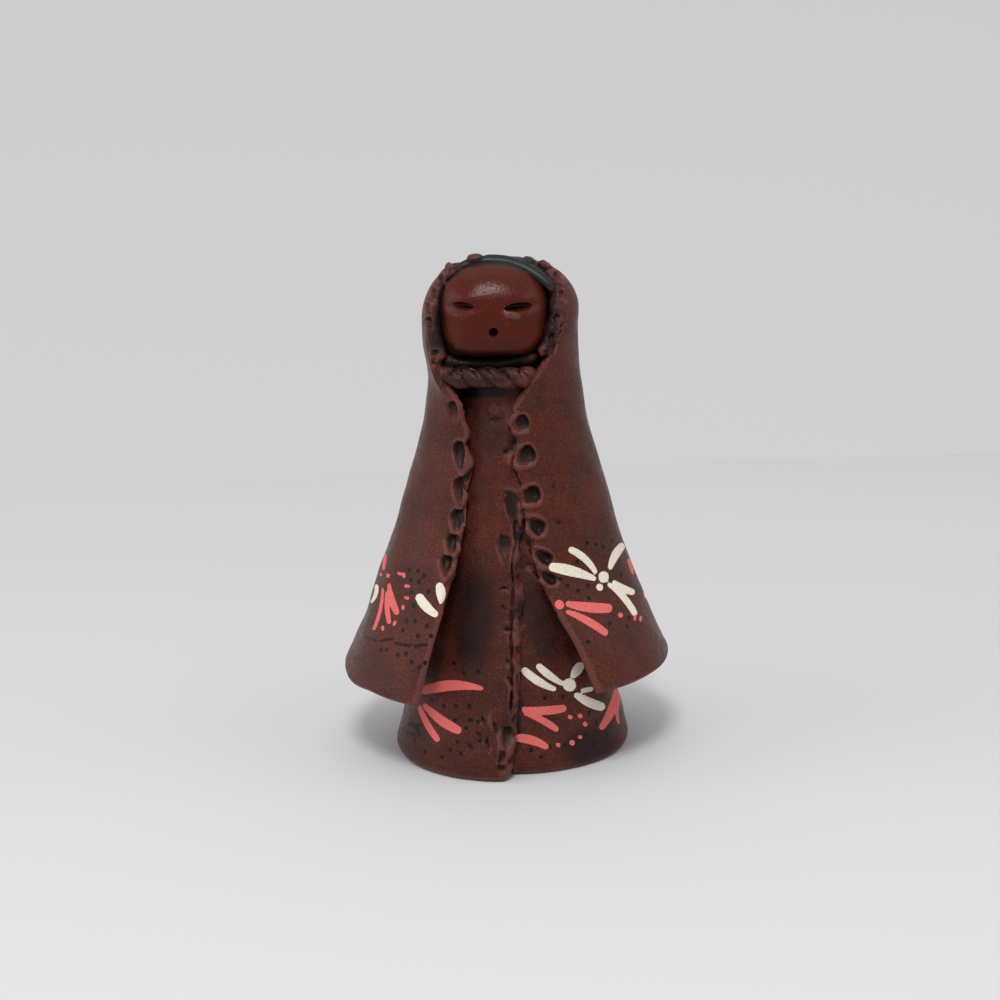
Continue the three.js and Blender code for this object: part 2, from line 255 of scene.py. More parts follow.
@dataclass
class Shawl:
    """The slab of clay that is draped over the head and the shoulders.

    A rib runs from the wearer's right edge, across -1, round the back, 0, to the left edge, 1. Ribs count
    from the hem, 0, to the rim over the forehead. Sizes in ribs are in hundredths of the figure's height.
    """

    thickness: float = 2.4
    rim_round: float = 1.2
    hem_round: float = 0.7
    step: float = 0.52
    edge_lines: int = 5
    front_share: float = 0.48
    front_columns: int = 76
    back_columns: int = 38
    push_fade: float = 2.2
    sag_right: float = 1.1
    sag_left: float = 0.3
    sag_start: float = 30.0
    sag_run: float = 5.0
    sag_ribs: float = 0.8
    ribs: list[list[float]] = field(
        default_factory=lambda: [
            [-18.3, -22.5, 17.3, 16.9, -21.5, 18.7, -0.6, 32.8, 0.46, 28.6, 20.5],
            [-15.5, -20.0, 27.7, 12.9, -19.6, 28.2, -0.4, 28.3, 0.46, 25.5, 30.0],
            [-11.7, -16.9, 38.6, 7.0, -16.1, 38.2, -0.3, 24.3, 0.46, 22.0, 41.8],
            [-8.8, -13.9, 47.7, 4.3, -14.3, 47.3, 0.0, 21.2, 0.46, 19.1, 52.3],
            [-7.8, -12.2, 56.4, 2.5, -13.2, 56.4, 0.2, 18.6, 0.46, 16.7, 62.3],
            [-6.9, -11.2, 65.5, 1.7, -12.2, 65.5, 0.4, 16.0, 0.46, 15.1, 71.8],
            [-8.4, -11.2, 72.7, 1.2, -12.1, 72.3, 0.3, 14.9, 0.46, 14.3, 80.0],
            [-12.1, -10.2, 77.5, 4.6, -11.8, 77.3, 0.0, 14.8, 0.46, 13.6, 86.4],
            [-13.6, -9.2, 82.3, 9.0, -10.6, 82.3, -0.3, 15.0, 0.45, 12.4, 91.8],
            [-13.9, -7.8, 88.2, 11.7, -8.4, 88.2, -0.2, 14.7, 0.42, 9.5, 96.6],
            [-12.3, -5.6, 93.7, 11.3, -6.0, 93.5, -0.3, 12.7, 0.34, 4.8, 99.3],
            [-9.8, -3.8, 97.3, 8.9, -4.0, 97.1, -0.3, 9.8, 0.2, -0.6, 99.9],
        ]
    )
    right_scallops: tuple[Scallop, ...] = pinches(
        (2.42,), (2.86,), (3.36, 5.2), (4, 5.6), (4.66, 6), (6.05, 4.6, 0.5),
    )
    left_scallops: tuple[Scallop, ...] = pinches(
        (2.3,), (2.72,), (3.25, 5.2), (3.92, 5.6), (4.72, 5.4), (5.55, 5),
    )

    def __post_init__(self) -> None:
        """Makes the table of ribs."""
        self.table = SmoothTable([[i, *rib] for i, rib in enumerate(self.ribs)])
        self.last = float(len(self.ribs) - 1)

    def point(self, rib: np.ndarray, across: np.ndarray) -> np.ndarray:
        """Points of the slab's plain outer face.

        Args:
            rib: which rib, of any shape.
            across: how far along it, of the same shape.

        Returns:
            The points, in millimetres.
        """
        rib, across = np.broadcast_arrays(np.asarray(rib, float), np.asarray(across, float))
        row = self.table.at(rib)
        right, left = row[..., 0:3], row[..., 3:6]
        middle, half, widest, back_y, back_z = (row[..., i] for i in range(6, 11))
        edge = np.where((across < 0.0)[..., None], right, left)
        edge_angle = np.arcsin(np.minimum(np.abs(edge[..., 0] - middle) / half, 1.0))
        angle = math.pi + (edge_angle - math.pi) * np.abs(across)
        forward = np.cos(angle)
        along = np.where(
            forward > 0.0, widest * (1.0 - forward / np.cos(edge_angle)), widest - (1.0 - widest) * forward
        )
        x = middle + np.sign(across) * half * np.sin(angle)
        y = edge[..., 1] + (back_y - edge[..., 1]) * along
        z = edge[..., 2] + (back_z - edge[..., 2]) * along
        return np.stack([x, y, z], axis=-1) * SHARE

    def rows(self) -> np.ndarray:
        """The rib numbers of the mesh's rows, close together where the slab's edge turns round.

        Returns:
            The rib number of each row.
        """
        fine = np.linspace(0.0, self.last, 600)
        beside_edge = 0.93
        path = self.point(fine, np.full_like(fine, beside_edge))
        length = np.concatenate([[0.0], np.cumsum(np.linalg.norm(np.diff(path, axis=0), axis=1))])
        edge = rounding(self.hem_round, self.edge_lines)
        body = np.linspace(self.hem_round, length[-1] - self.hem_round, int(length[-1] / self.step))
        places = np.concatenate([edge, body, length[-1] - edge[::-1]])
        return np.interp(places, length, fine)

    def columns(self, rows: np.ndarray, side: float) -> np.ndarray:
        """The places across each rib of one half of the mesh's columns, from the edge to the back.

        Args:
            rows: the rib number of each row.
            side: -1 for the wearer's right half, 1 for the left.

        Returns:
            An array of rows and columns.
        """
        fine = np.linspace(0.0, 1.0, 240)
        path = self.point(rows[:, None], side * (1.0 - fine)[None])
        steps = np.cumsum(np.linalg.norm(np.diff(path, axis=1), axis=2), axis=1)
        length = np.concatenate([np.zeros((len(rows), 1)), steps], axis=1)
        edge = rounding(self.rim_round, self.edge_lines)
        front = np.linspace(0.0, self.front_share, self.front_columns)
        back = np.linspace(self.front_share, 1.0, self.back_columns)[1:]
        body = self.rim_round + (length[:, -1:] - self.rim_round) * np.concatenate([front, back])
        places = np.concatenate([np.broadcast_to(edge, (len(rows), len(edge))), body], axis=1)
        across = np.stack([np.interp(p, l, fine) for p, l in zip(places, length)])
        return side * (1.0 - across)

    def mesh(self) -> ClayMesh:
        """The slab with its rounded, pinched edges.

        Returns:
            The closed slab.
        """
        rows = self.rows()
        left = self.columns(rows, 1.0)
        right = self.columns(rows, -1.0)
        across = np.concatenate([left, right[:, -2::-1]], axis=1)
        outer = self.point(rows[:, None], across)
        normal = self.normals(outer)
        inward = self.inward_directions(outer)
        from_edge, from_ends = self.edge_distances(outer)
        push = self.finger_work(outer)
        rim = np.clip(np.minimum(from_edge / self.rim_round, from_ends / self.hem_round), 0.0, 1.0)
        half = self.thickness / 2.0 * np.sqrt(1.0 - (1.0 - rim) ** 2)
        middle = outer - normal * self.thickness / 2.0
        middle = middle - inward * (push * np.exp(-from_edge / self.push_fade))[..., None]
        wander = self.unevenness(outer)
        middle[..., 2] -= self.sag(rows[:, None], outer)
        outside = middle + normal * (half + wander * rim)[..., None]
        inside = middle - normal * half[..., None]
        return self.close(outside, inside)

    def normals(self, grid: np.ndarray) -> np.ndarray:
        """The grid's outward unit normals.

        Args:
            grid: rows and columns of points.

        Returns:
            A unit vector for each point.
        """
        up = np.gradient(grid, axis=0)
        side = np.gradient(grid, axis=1)
        return unit(np.cross(side, up))

    def inward_directions(self, grid: np.ndarray) -> np.ndarray:
        """The unit direction away from the nearer long edge, at each point.

        Args:
            grid: rows and columns of points.

        Returns:
            A unit vector for each point.
        """
        side = unit(np.gradient(grid, axis=1))
        half = grid.shape[1] // 2
        sign = np.ones(grid.shape[1])
        sign[half:] = -1.0
        return side * sign[None, :, None]

    def edge_distances(self, grid: np.ndarray) -> tuple[np.ndarray, np.ndarray]:
        """How far each point is from the long edges, and from the hem or the rim over the forehead.

        Args:
            grid: rows and columns of points.

        Returns:
            The two distances of each point, in millimetres.
        """
        across = np.linalg.norm(np.diff(grid, axis=1), axis=2)
        from_left = np.concatenate([np.zeros((len(grid), 1)), np.cumsum(across, axis=1)], axis=1)
        from_edge = np.minimum(from_left, from_left[:, -1:] - from_left)
        up = np.linalg.norm(np.diff(grid, axis=0), axis=2)
        from_hem = np.concatenate([np.zeros((1, grid.shape[1])), np.cumsum(up, axis=0)], axis=0)
        return from_edge, np.minimum(from_hem, from_hem[-1:] - from_hem)

    def finger_work(self, grid: np.ndarray) -> np.ndarray:
        """How far the pinches push the two long edges out.

        Args:
            grid: rows and columns of points.

        Returns:
            The push of each point, in millimetres.
        """
        push = np.zeros(grid.shape[:2])
        small = 0.02
        for side, scallops in ((-1.0, self.right_scallops), (1.0, self.left_scallops)):
            for scallop in scallops:
                edge = self.point(scallop.place, side)
                above, below = (self.point(scallop.place + step, side) for step in (small, -small))
                push += scallop.push(grid, edge, unit(above - below))
        return push

    def sag(self, rib: np.ndarray, grid: np.ndarray) -> np.ndarray:
        """How far the hem hangs lower at its two corners, beside the figure.

        Args:
            rib: the rib number of each row.
            grid: rows and columns of points.

        Returns:
            The drop of each point, in millimetres.
        """
        across, ahead = grid[..., 0], grid[..., 1]
        beside = smooth_step((np.abs(across) - self.sag_start) / self.sag_run)
        corner = beside * np.exp(-(((ahead + 6.0) / 12.0) ** 2))
        near_hem = np.exp(-((rib / self.sag_ribs) ** 2))
        return np.where(across < 0.0, self.sag_right, self.sag_left) * corner * near_hem

    def unevenness(self, grid: np.ndarray) -> np.ndarray:
        """The slow waves that hands leave in a slab.

        Args:
            grid: rows and columns of points.

        Returns:
            How far each point stands off, in millimetres.
        """
        x, y, z = (grid[..., i] for i in range(3))
        wave = np.sin(0.21 * z + 0.13 * x) * np.cos(0.17 * y - 0.09 * z) * 0.22
        return wave + 0.08 * np.sin(0.55 * x + 0.4 * z) * np.sin(0.48 * y + 0.3 * z)

    def close(self, outside: np.ndarray, inside: np.ndarray) -> ClayMesh:
        """The closed mesh of two grids that meet along their border.

        Args:
            outside: the outer face's points.
            inside: the inner face's points, which meet the outer ones at the border.

        Returns:
            The closed mesh.
        """
        count, wide, _ = outside.shape
        outer = np.arange(count * wide).reshape(count, wide)
        inner = outer.copy()
        inner[1:-1, 1:-1] = count * wide + np.arange((count - 2) * (wide - 2)).reshape(count - 2, wide - 2)
        points = np.concatenate([outside.reshape(-1, 3), inside[1:-1, 1:-1].reshape(-1, 3)])
        face_out = np.stack([outer[:-1, :-1], outer[:-1, 1:], outer[1:, 1:], outer[1:, :-1]], axis=-1)
        face_in = np.stack([inner[:-1, :-1], inner[1:, :-1], inner[1:, 1:], inner[:-1, 1:]], axis=-1)
        faces = np.concatenate([face_out.reshape(-1, 4), face_in.reshape(-1, 4)])
        return ClayMesh(points, [tuple(face) for face in faces.tolist()])


@dataclass
class Shoulders:
    """The clay inside the shawl that joins it to the dress and to the back of the head."""

    shawl: Shawl
    lowest: float = 4.6
    below_rim: float = 0.5
    front: float = -2.5

    def mesh(self) -> ClayMesh:
        """The filling, out of sight inside the shawl.

        Returns:
            The closed filling.
        """
        ribs = np.linspace(self.lowest, self.shawl.last - self.below_rim, 24)
        across = np.linspace(1.0, -1.0, 61)
        grid = self.shawl.point(ribs[:, None], across[None])
        normal = self.shawl.normals(grid)
        rings = grid - normal * self.shawl.thickness / 2.0
        rings[..., 1] = np.maximum(rings[..., 1], self.front * SHARE)
        return loft(rings)


@dataclass
class Dress:
    """The rolled slab of the dress: a hollow cone whose outer end laps over the front seam."""

    wall: float = 2.6
    lap_at_hem: float = 4.0
    lap_at_waist: float = 1.4
    lap_start: float = 0.75
    lap_nose: float = 1.5
    lap_run: float = 40.0
    nick_width: float = 2.6
    nick_push: float = 0.8
    turn_spans: tuple[tuple[float, float, int], ...] = ((0.0, 0.3, 74), (0.3, 0.72, 44), (0.72, 1.0, 84))
    top: float = 80.0
    middle: tuple[float, float] = (0.3, 1.0)
    hollow_top: float = 66.0
    foot_round: float = 1.2
    rows: list[list[float]] = field(
        default_factory=lambda: [
            [0, 22.7, 17.3], [2.5, 23.3, 17.8], [9, 21.9, 17.2], [20, 19.6, 16.2], [45, 14.6, 13],
            [62, 11.8, 10.9], [80, 9.2, 8.6],
        ]
    )
    seam: list[list[float]] = field(
        default_factory=lambda: [
            [0, -2.2], [9, -0.8], [26, 0.5], [37, 1.3], [43, 0.5], [50, 1.9], [57, 2.7], [68, 1.9],
            [80, 2.6],
        ]
    )
    scallops: tuple[Scallop, ...] = pinches(
        (7, 5), (13.5, 5), (20, 4, 0.5), (28, 5, 0.6), (37, 4, 0.5), (44.5, 7, 1.1), (54, 7, 1.1),
        (63, 5, 0.8), (69.8, 5, 1),
    )

    def __post_init__(self) -> None:
        """Makes the tables."""
        self.profile = SmoothTable(self.rows)
        self.seam_line = SmoothTable(self.seam)

    def point(self, height: np.ndarray, turn: np.ndarray, out: np.ndarray) -> np.ndarray:
        """Points of the cone.

        Args:
            height: in hundredths of the figure's height.
            turn: 0 at the seam, past the wearer's left side and the back, to 1 at the seam again.
            out: how far each point stands off the plain cone, in millimetres.

        Returns:
            The points, in millimetres.
        """
        height, turn, out = np.broadcast_arrays(*(np.asarray(a, float) for a in (height, turn, out)))
        size = self.profile.at(height) * SHARE
        seam = self.seam_line.at(height)[..., 0] * SHARE
        angle = np.arcsin(seam / size[..., 0]) + turn * 2.0 * math.pi
        x = self.middle[0] * SHARE + (size[..., 0] + out) * np.sin(angle)
        y = self.middle[1] * SHARE - (size[..., 1] + out) * np.cos(angle)
        return np.stack([x, y, height * SHARE], axis=-1)

    def lap(self, height: np.ndarray, turn: np.ndarray) -> np.ndarray:
        """How far the slab's outer end stands off near the seam.

        Args:
            height: in hundredths of the figure's height.
            turn: as for a point of the cone.

        Returns:
            The distance from the plain cone, in millimetres.
        """
        upward = smooth_step(np.asarray(height) / self.lap_run)
        lap = self.lap_at_hem + (self.lap_at_waist - self.lap_at_hem) * upward
        return lap * smooth_step((turn - self.lap_start) / (1.0 - self.lap_start))

    def mesh(self) -> ClayMesh:
        """The outside of the cone, with the lapped and nicked seam.

        Returns:
            The closed cone, still without its hollow.
        """
        heights = self.heights()
        left_side, back, lapped = (np.linspace(*span) for span in self.turn_spans)
        turns = np.concatenate([left_side, back[1:], lapped[1:]])
        grid = self.point(heights[:, None], turns[None], self.lap(heights[:, None], turns[None]))
        rings = np.concatenate([grid, self.nose(heights)], axis=1)
        rings = self.round_foot(rings, heights)
        side = unit(np.roll(rings, -1, axis=1) - np.roll(rings, 1, axis=1))
        up = unit(np.gradient(rings, axis=0))
        normal = unit(np.cross(side, up))
        x, _, z = (rings[..., i] for i in range(3))
        uneven = 0.16 * np.sin(0.31 * z + 0.22 * x) + 0.1 * np.sin(0.83 * z - 0.5 * x)
        push = self.nick_push * self.nicks(rings) + uneven * smooth_step(z / 3.0)
        rings = rings + normal * push[..., None]
        rings[0, :, 2] = 0.0
        return loft(rings)

    def nicks(self, rings: np.ndarray) -> np.ndarray:
        """How far the pinches push out the edge of the lapped slab.

        Args:
            rings: the cone's rings of points.

        Returns:
            The push of each point, in millimetres.
        """
        push = np.zeros(rings.shape[:2])
        for scallop in self.scallops:
            place, above, beside = (scallop.place, 1.0), (scallop.place + 1.0, 1.0), (scallop.place, 0.98)
            edge, higher, aside = (self.point(*spot, self.lap(*spot)) for spot in (place, above, beside))
            reach = np.abs((rings - edge) @ unit(aside - edge))
            narrow = np.exp(-((reach / self.nick_width) ** 2))
            push += scallop.push(rings, edge, unit(higher - edge)) * narrow
        return push

    def heights(self) -> np.ndarray:
        """The heights of the rings, in hundredths.

        Returns:
            A height for each ring.
        """
        foot = self.foot_round / SHARE
        low = np.linspace(foot, 46.0, 92)
        high = np.linspace(46.0, self.top, 58)[1:]
        return np.concatenate([rounding(foot, 4), low, high])

    def nose(self, heights: np.ndarray) -> np.ndarray:
        """The rounded end of the lapped slab, from its top down to the clay under it.

        Args:
            heights: each ring's height, in hundredths.

        Returns:
            The points that round off each ring's end.
        """
        turns = np.linspace(0.0, math.pi / 2.0, 8)[1:-1]
        lap = self.lap(heights, 1.0)[:, None]
        width = self.profile.at(heights)[:, 0:1] * SHARE
        wander = 0.35 * np.sin(heights * 0.9)[:, None] + 0.25 * np.sin(heights * 2.3 + 1.0)[:, None]
        past = (self.lap_nose + wander) * np.sin(turns)[None] / (2.0 * math.pi * width)
        points = self.point(heights[:, None], past, lap * np.cos(turns)[None])
        return points

    def round_foot(self, rings: np.ndarray, heights: np.ndarray) -> np.ndarray:
        """The rings with the foot's outer corner rounded over.

        Args:
            rings: the cone's rings of points.
            heights: each ring's height, in hundredths.

        Returns:
            The rings, the lowest of them drawn in.
        """
        low = np.clip(heights * SHARE / self.foot_round, 0.0, 1.0)
        tuck = self.foot_round * (1.0 - np.sqrt(1.0 - (1.0 - low) ** 2))
        middle = np.array([self.middle[0] * SHARE, self.middle[1] * SHARE, 0.0])
        out = rings - middle
        out[..., 2] = 0.0
        return rings - unit(out) * tuck[:, None, None]

    def hollow(self) -> ClayMesh:
        """The hollow inside the cone, open underneath.

        Returns:
            A closed cone to cut out.
        """
        heights = np.linspace(0.0, self.hollow_top, 24)
        turns = np.linspace(0.0, 1.0, 73)[:-1]
        rings = self.point(heights[:, None], turns[None], -self.wall)
        mouth = rings[:1].copy()
        mouth[..., 2] = -2.0
        return loft(np.concatenate([mouth, rings]))


@dataclass(frozen=True)
class EyeSlit:
    """One eye slit: length and height as shares of the usual, the rest in millimetres and degrees."""

    side: float
    offset: tuple[float, float, float]
    longer: float
    depth: float
    higher: float
    tilt: float


@dataclass
class Head:
    """The ball of clay with its flattened face."""

    centre: tuple[float, float, float] = (-1.6, -2.2, 90.5)
    half_width: float = 11.0
    half_depth: float = 9.8
    above: float = 9.5
    below: float = 8.8
    round_across: float = 2.4
    round_above: float = 2.3
    round_below: float = 4.0
    tilt_back: float = 6.0
    eye_height: float = 92.7
    eye_spacing: float = 10.9
    eye_length: float = 5.4
    eye_opening: float = 1.5
    mouth_height: float = 88.1
    mouth_diameter: float = 2.0
    mouth_depth: float = 2.4
    lid_reach: float = 1.9
    lid_width: float = 1.3
    low_lid: float = 0.38
    high_lid: float = 0.3
    eye_groove: float = 0.4
    mouth_ring: float = 0.14
    slits: tuple[EyeSlit, ...] = (
        EyeSlit(-1.0, (-0.6, 0.0, 0.4), 1.0, 1.8, 1.15, -3.5),
        EyeSlit(1.0, (-0.4, 0.0, -0.1), 1.3, 2.0, 1.25, 1.0),
    )

    def __post_init__(self) -> None:
        """Finds the centre in millimetres and the tilt."""
        self.middle = np.array(self.centre) * SHARE
        turn = math.radians(-self.tilt_back)
        self.tilt = np.array(
            [[1.0, 0.0, 0.0], [0.0, math.cos(turn), -math.sin(turn)], [0.0, math.sin(turn), math.cos(turn)]]
        )

    def surface(self, direction: np.ndarray, out: np.ndarray | float = 0.0) -> np.ndarray:
        """Points of the ball in some directions of its own.

        Args:
            direction: unit vectors.
            out: how far each point stands off the ball.

        Returns:
            The points, in millimetres.
        """
        x, y, z = (direction[..., i] for i in range(3))
        aside, ahead = np.abs(x / self.half_width), np.abs(y / self.half_depth)
        level = (aside**self.round_across + ahead**self.round_across) ** (1.0 / self.round_across)
        upright = np.abs(z) / np.where(z > 0.0, self.above, self.below)
        power = np.where(z > 0.0, self.round_above, self.round_below)
        reach = SHARE * (level**power + upright**power) ** (-1.0 / power) + out
        return (direction * reach[..., None]) @ self.tilt.T + self.middle

    def mesh(self) -> ClayMesh:
        """The ball with its lids and the ring of the mouth.

        Returns:
            The closed ball.
        """
        direction = ball(150, 96)
        return loft(self.surface(direction, self.features(self.surface(direction))))

    def features(self, points: np.ndarray) -> np.ndarray:
        """How far the lids, brows and cheeks stand out of the ball.

        Args:
            points: points of the plain ball.

        Returns:
            How far each point stands off the plain ball, in millimetres.
        """
        out = np.zeros(points.shape[:-1])
        ahead = points[..., 1] < self.middle[1]
        for side in (-1.0, 1.0):
            eye = self.eye(side)
            x = (points[..., 0] - eye[0]) / (0.52 * self.eye_length)
            z = points[..., 2] - eye[2]
            low = np.exp(-(((z + self.lid_reach) / self.lid_width) ** 2)) * self.low_lid
            high = np.exp(-(((z - self.lid_reach) / self.lid_width) ** 2)) * self.high_lid
            lid = np.exp(-(x**2)) * (low + high)
            groove = np.exp(-(x**2)) * np.exp(-((z / 0.8) ** 2)) * self.eye_groove
            out += np.where(ahead, lid - groove, 0.0)
        mouth = self.face_point(0.0, self.mouth_height)
        away = np.linalg.norm(points - mouth, axis=-1)
        return out + self.mouth_ring * np.exp(-(((away - 1.5) / 0.5) ** 2))

    def face_point(self, aside: float, height: float) -> np.ndarray:
        """The point of the face at a distance to the wearer's left of its middle and at a height.

        Args:
            aside: how far to the wearer's left of the middle, in hundredths.
            height: its height, in hundredths.

        Returns:
            The point, in millimetres.
        """
        target = self.middle + np.array([aside, -self.half_depth, 0.0]) * SHARE
        target[2] = height * SHARE
        for _ in range(8):
            direction = unit((target - self.middle) @ self.tilt)
            target[1] = self.surface(direction)[1]
        return target

    def eye(self, side: float) -> np.ndarray:
        """The middle of an eye slit."""
        return self.face_point(side * self.eye_spacing / 2.0, self.eye_height)

    def cuts(self) -> list[ClayMesh]:
        """The two slits and the round mouth, as lens shapes to be cut out.

        Returns:
            Three closed shapes.
        """
        shapes = []
        for slit in self.slits:
            size = (self.eye_length / 2.0 * slit.longer, slit.depth, self.eye_opening / 2.0 * slit.higher)
            shapes.append(self.lens(self.eye(slit.side) + np.array(slit.offset), size, slit.tilt))
        mouth = (self.mouth_diameter / 2.0, self.mouth_depth, self.mouth_diameter / 2.0)
        return [*shapes, self.lens(self.face_point(0.0, self.mouth_height), mouth, tilt=0.0)]

    def lens(self, centre: np.ndarray, size: tuple[float, float, float], tilt: float) -> ClayMesh:
        """A closed ellipsoid, turned in the plane of the face.

        Args:
            centre: its middle, in millimetres.
            size: half its width, depth and height, in millimetres.
            tilt: its turn, in degrees.

        Returns:
            The closed ellipsoid.
        """
        angle = math.radians(tilt)
        cos, sin = math.cos(angle), math.sin(angle)
        spin = np.array([[cos, 0.0, -sin], [0.0, 1.0, 0.0], [sin, 0.0, cos]])
        return loft((ball(48, 24) * np.array(size)) @ spin.T + centre)


@dataclass
class HoodRim:
    """The rolls of clay round the face: the rim in two lengths, the throat and the hair.

    The lines are in pixels of the photograph's view, and the depth table gives how far forward the roll
    lies at each height, in millimetres.
    """

    radius: float = 1.6
    first_guess: float = -7.0
    right_line: tuple[tuple[float, float], ...] = (
        (439, 362), (436.5, 350), (434, 336), (432.5, 322.7), (432.5, 309.2), (436, 295.8), (443, 282.3),
        (452, 272.5), (461, 267.5),
    )
    left_line: tuple[tuple[float, float], ...] = (
        (547, 272), (554.5, 279.5), (557.5, 290), (558, 302), (556.5, 315), (552, 329), (549, 342),
        (541.5, 356),
    )
    throat_line: tuple[tuple[float, float], ...] = (
        (443, 360), (455, 362.5), (475, 364), (500, 363.5), (520, 360.5), (537, 355),
    )
    hair_line: tuple[tuple[float, float], ...] = (
        (448, 278.1), (458, 269.1), (470, 263.6), (484, 261.8), (500, 262.2), (515, 265.6), (530, 272.1),
        (544, 281.1), (554, 290.6),
    )
    depth: list[list[float]] = field(
        default_factory=lambda: [
            [84, -11], [90, -10.3], [97, -8.8], [102, -6.8], [106, -4.6], [109, -2.2], [111, -0.5],
        ]
    )

    def meshes(self, lens: "Lens") -> list[ClayMesh]:
        """The rolls, in place before the face.

        Args:
            lens: the camera that the picture was taken with.

        Returns:
            Four closed tubes.
        """
        return [
            self.roll(self.right_line, lens, 0),
            self.roll(self.left_line, lens, 1),
            self.roll(self.throat_line, lens, 2, level=-8.0, width=0.75),
            self.roll(self.hair_line, lens, 3, ahead=1.9, width=0.84, even=True),
        ]

    def roll(
        self,
        line: tuple[tuple[float, float], ...],
        lens: "Lens",
        number: int,
        level: float | None = None,
        ahead: float = 0.0,
        width: float = 1.0,
        even: bool = False,
    ) -> ClayMesh:
        """One roll of clay.

        Args:
            line: its path in the picture.
            lens: the camera that the picture was taken with.
            number: which of them it is, for its lumps.
            level: its own place from front to back, or None for the rim's.
            ahead: how far it lies in front of the rim.
            width: its thickness as a share of the rim's.
            even: whether it is smooth, thick in the middle and thin at its ends.

        Returns:
            A closed tube.
        """
        depths = SmoothTable(self.depth)
        eye = np.array(lens.eye())
        middle = []
        for x, y in line:
            ray = np.array(lens.ray(x, y))
            place = eye + ray * (self.first_guess - eye[1]) / ray[1]
            for _ in range(6):
                forward = float(depths.at(place[2])[0]) - ahead if level is None else level
                place = eye + ray * (forward - eye[1]) / ray[1]
            middle.append(place)
        steps = np.linspace(0.0, 1.0, len(middle))
        t = np.linspace(0.0, 1.0, 110)
        path = SmoothTable([[a, *b] for a, b in zip(steps, middle)]).at(t)
        turn = 2.0 * math.pi * np.arange(26) / 26.0
        lumps = 1.0 + 0.07 * np.sin(26.0 * t + 2.0 * number) + 0.03 * np.sin(61.0 * t + 1.0)
        if even:
            lumps = 0.35 + 0.65 * np.sin(math.pi * t) ** 0.8 + 0.2 * smooth_step((t - 0.45) / 0.3)
        round_off = 1.0 + (0.0 if even else 0.04) * np.sin(2.0 * turn[None] + 17.0 * t[:, None])
        radius = self.radius * width * (round_ends(t, 0.07, 0.03) * lumps)[:, None] * round_off
        return tube(path, radius, turn, np.array([0.0, -1.0, 0.0]))


@dataclass
class Collar:
    """The coil of two twisted strands under the chin; the real coil is pressed flat at its right end, which
    these strands leave round.
    """

    strand: float = 3.3
    twist_reach: float = 0.22
    turns: float = -2.6
    path: list[list[float]] = field(
        default_factory=lambda: [
            [0, -11.9, -7, 79.4], [0.25, -8.2, -9.9, 79.2], [0.5, -2.6, -10.7, 79],
            [0.75, 2.8, -10.2, 78.7], [1, 6.4, -8, 78.3],
        ]
    )

    def strand_mesh(self, start: float) -> ClayMesh:
        """One strand.

        Args:
            start: the strand's place round the coil at its right end, in radians.

        Returns:
            The strand, closed and round at its ends.
        """
        t = np.linspace(0.0, 1.0, 120)
        middle = SmoothTable(self.path).at(t) * SHARE
        along = unit(np.gradient(middle, axis=0))
        up = np.array([0.0, 0.0, 1.0])
        aside = unit(np.cross(along, up))
        phase = start + t * self.turns * 2.0 * math.pi
        reach = self.twist_reach * self.strand
        line = middle + reach * (np.cos(phase)[:, None] * aside + np.sin(phase)[:, None] * up)
        lumps = 1.0 + 0.05 * np.sin(19.0 * t + start) + 0.03 * np.sin(53.0 * t)
        radius = self.strand / 2.0 * round_ends(t, 0.05, 0.02) * lumps
        turn = 2.0 * math.pi * np.arange(28) / 28.0
        return tube(line, radius[:, None], turn, up)


def vertex_data(mesh: bpy.types.Mesh) -> tuple[np.ndarray, np.ndarray]:
    """The mesh's points and normals.

    Args:
        mesh: the mesh.

    Returns:
        Two arrays with a row for each vertex.
    """
    points, normals = (np.empty(len(mesh.vertices) * 3) for _ in range(2))
    mesh.vertices.foreach_get("co", points)
    mesh.vertex_normals.foreach_get("vector", normals)
    return points.reshape(-1, 3), normals.reshape(-1, 3)


def thin_out(obj: bpy.types.Object, dress: Dress, limit: int) -> None:
    """Makes the faces larger that look in toward the dress, inside the shawl, where nobody looks closely.

    Args:
        obj: the object.
        dress: the dress, whose own hollow stays as it is.
        limit: how many triangles it may have in all.
    """
    mesh = obj.data
    mesh.calc_loop_triangles()
    points, normals = vertex_data(mesh)
    from_axis = np.maximum(np.linalg.norm(points[:, :2], axis=1), 1e-6)
    inward = -(points[:, :2] * normals[:, :2]).sum(1) / from_axis
    size = dress.profile.at(points[:, 2] / SHARE) * SHARE
    aside, ahead = (points[:, i] - dress.middle[i] * SHARE for i in (0, 1))
    past_dress = np.hypot(aside / size[:, 0], ahead / size[:, 1]) > 1.0
    below_face = points[:, 2] < 95.0
    group = obj.vertex_groups.new(name="inside")
    group.add(np.flatnonzero((inward > 0.25) & below_face & past_dress).tolist(), 1.0, "REPLACE")
    fewer = obj.modifiers.new("fewer_faces", "DECIMATE")
    fewer.vertex_group = group.name
    fewer.vertex_group_factor = 1000.0
    fewer.ratio = min(1.0, limit / max(len(mesh.loop_triangles), 1))
    bake_modifiers(obj)
    obj.vertex_groups.clear()


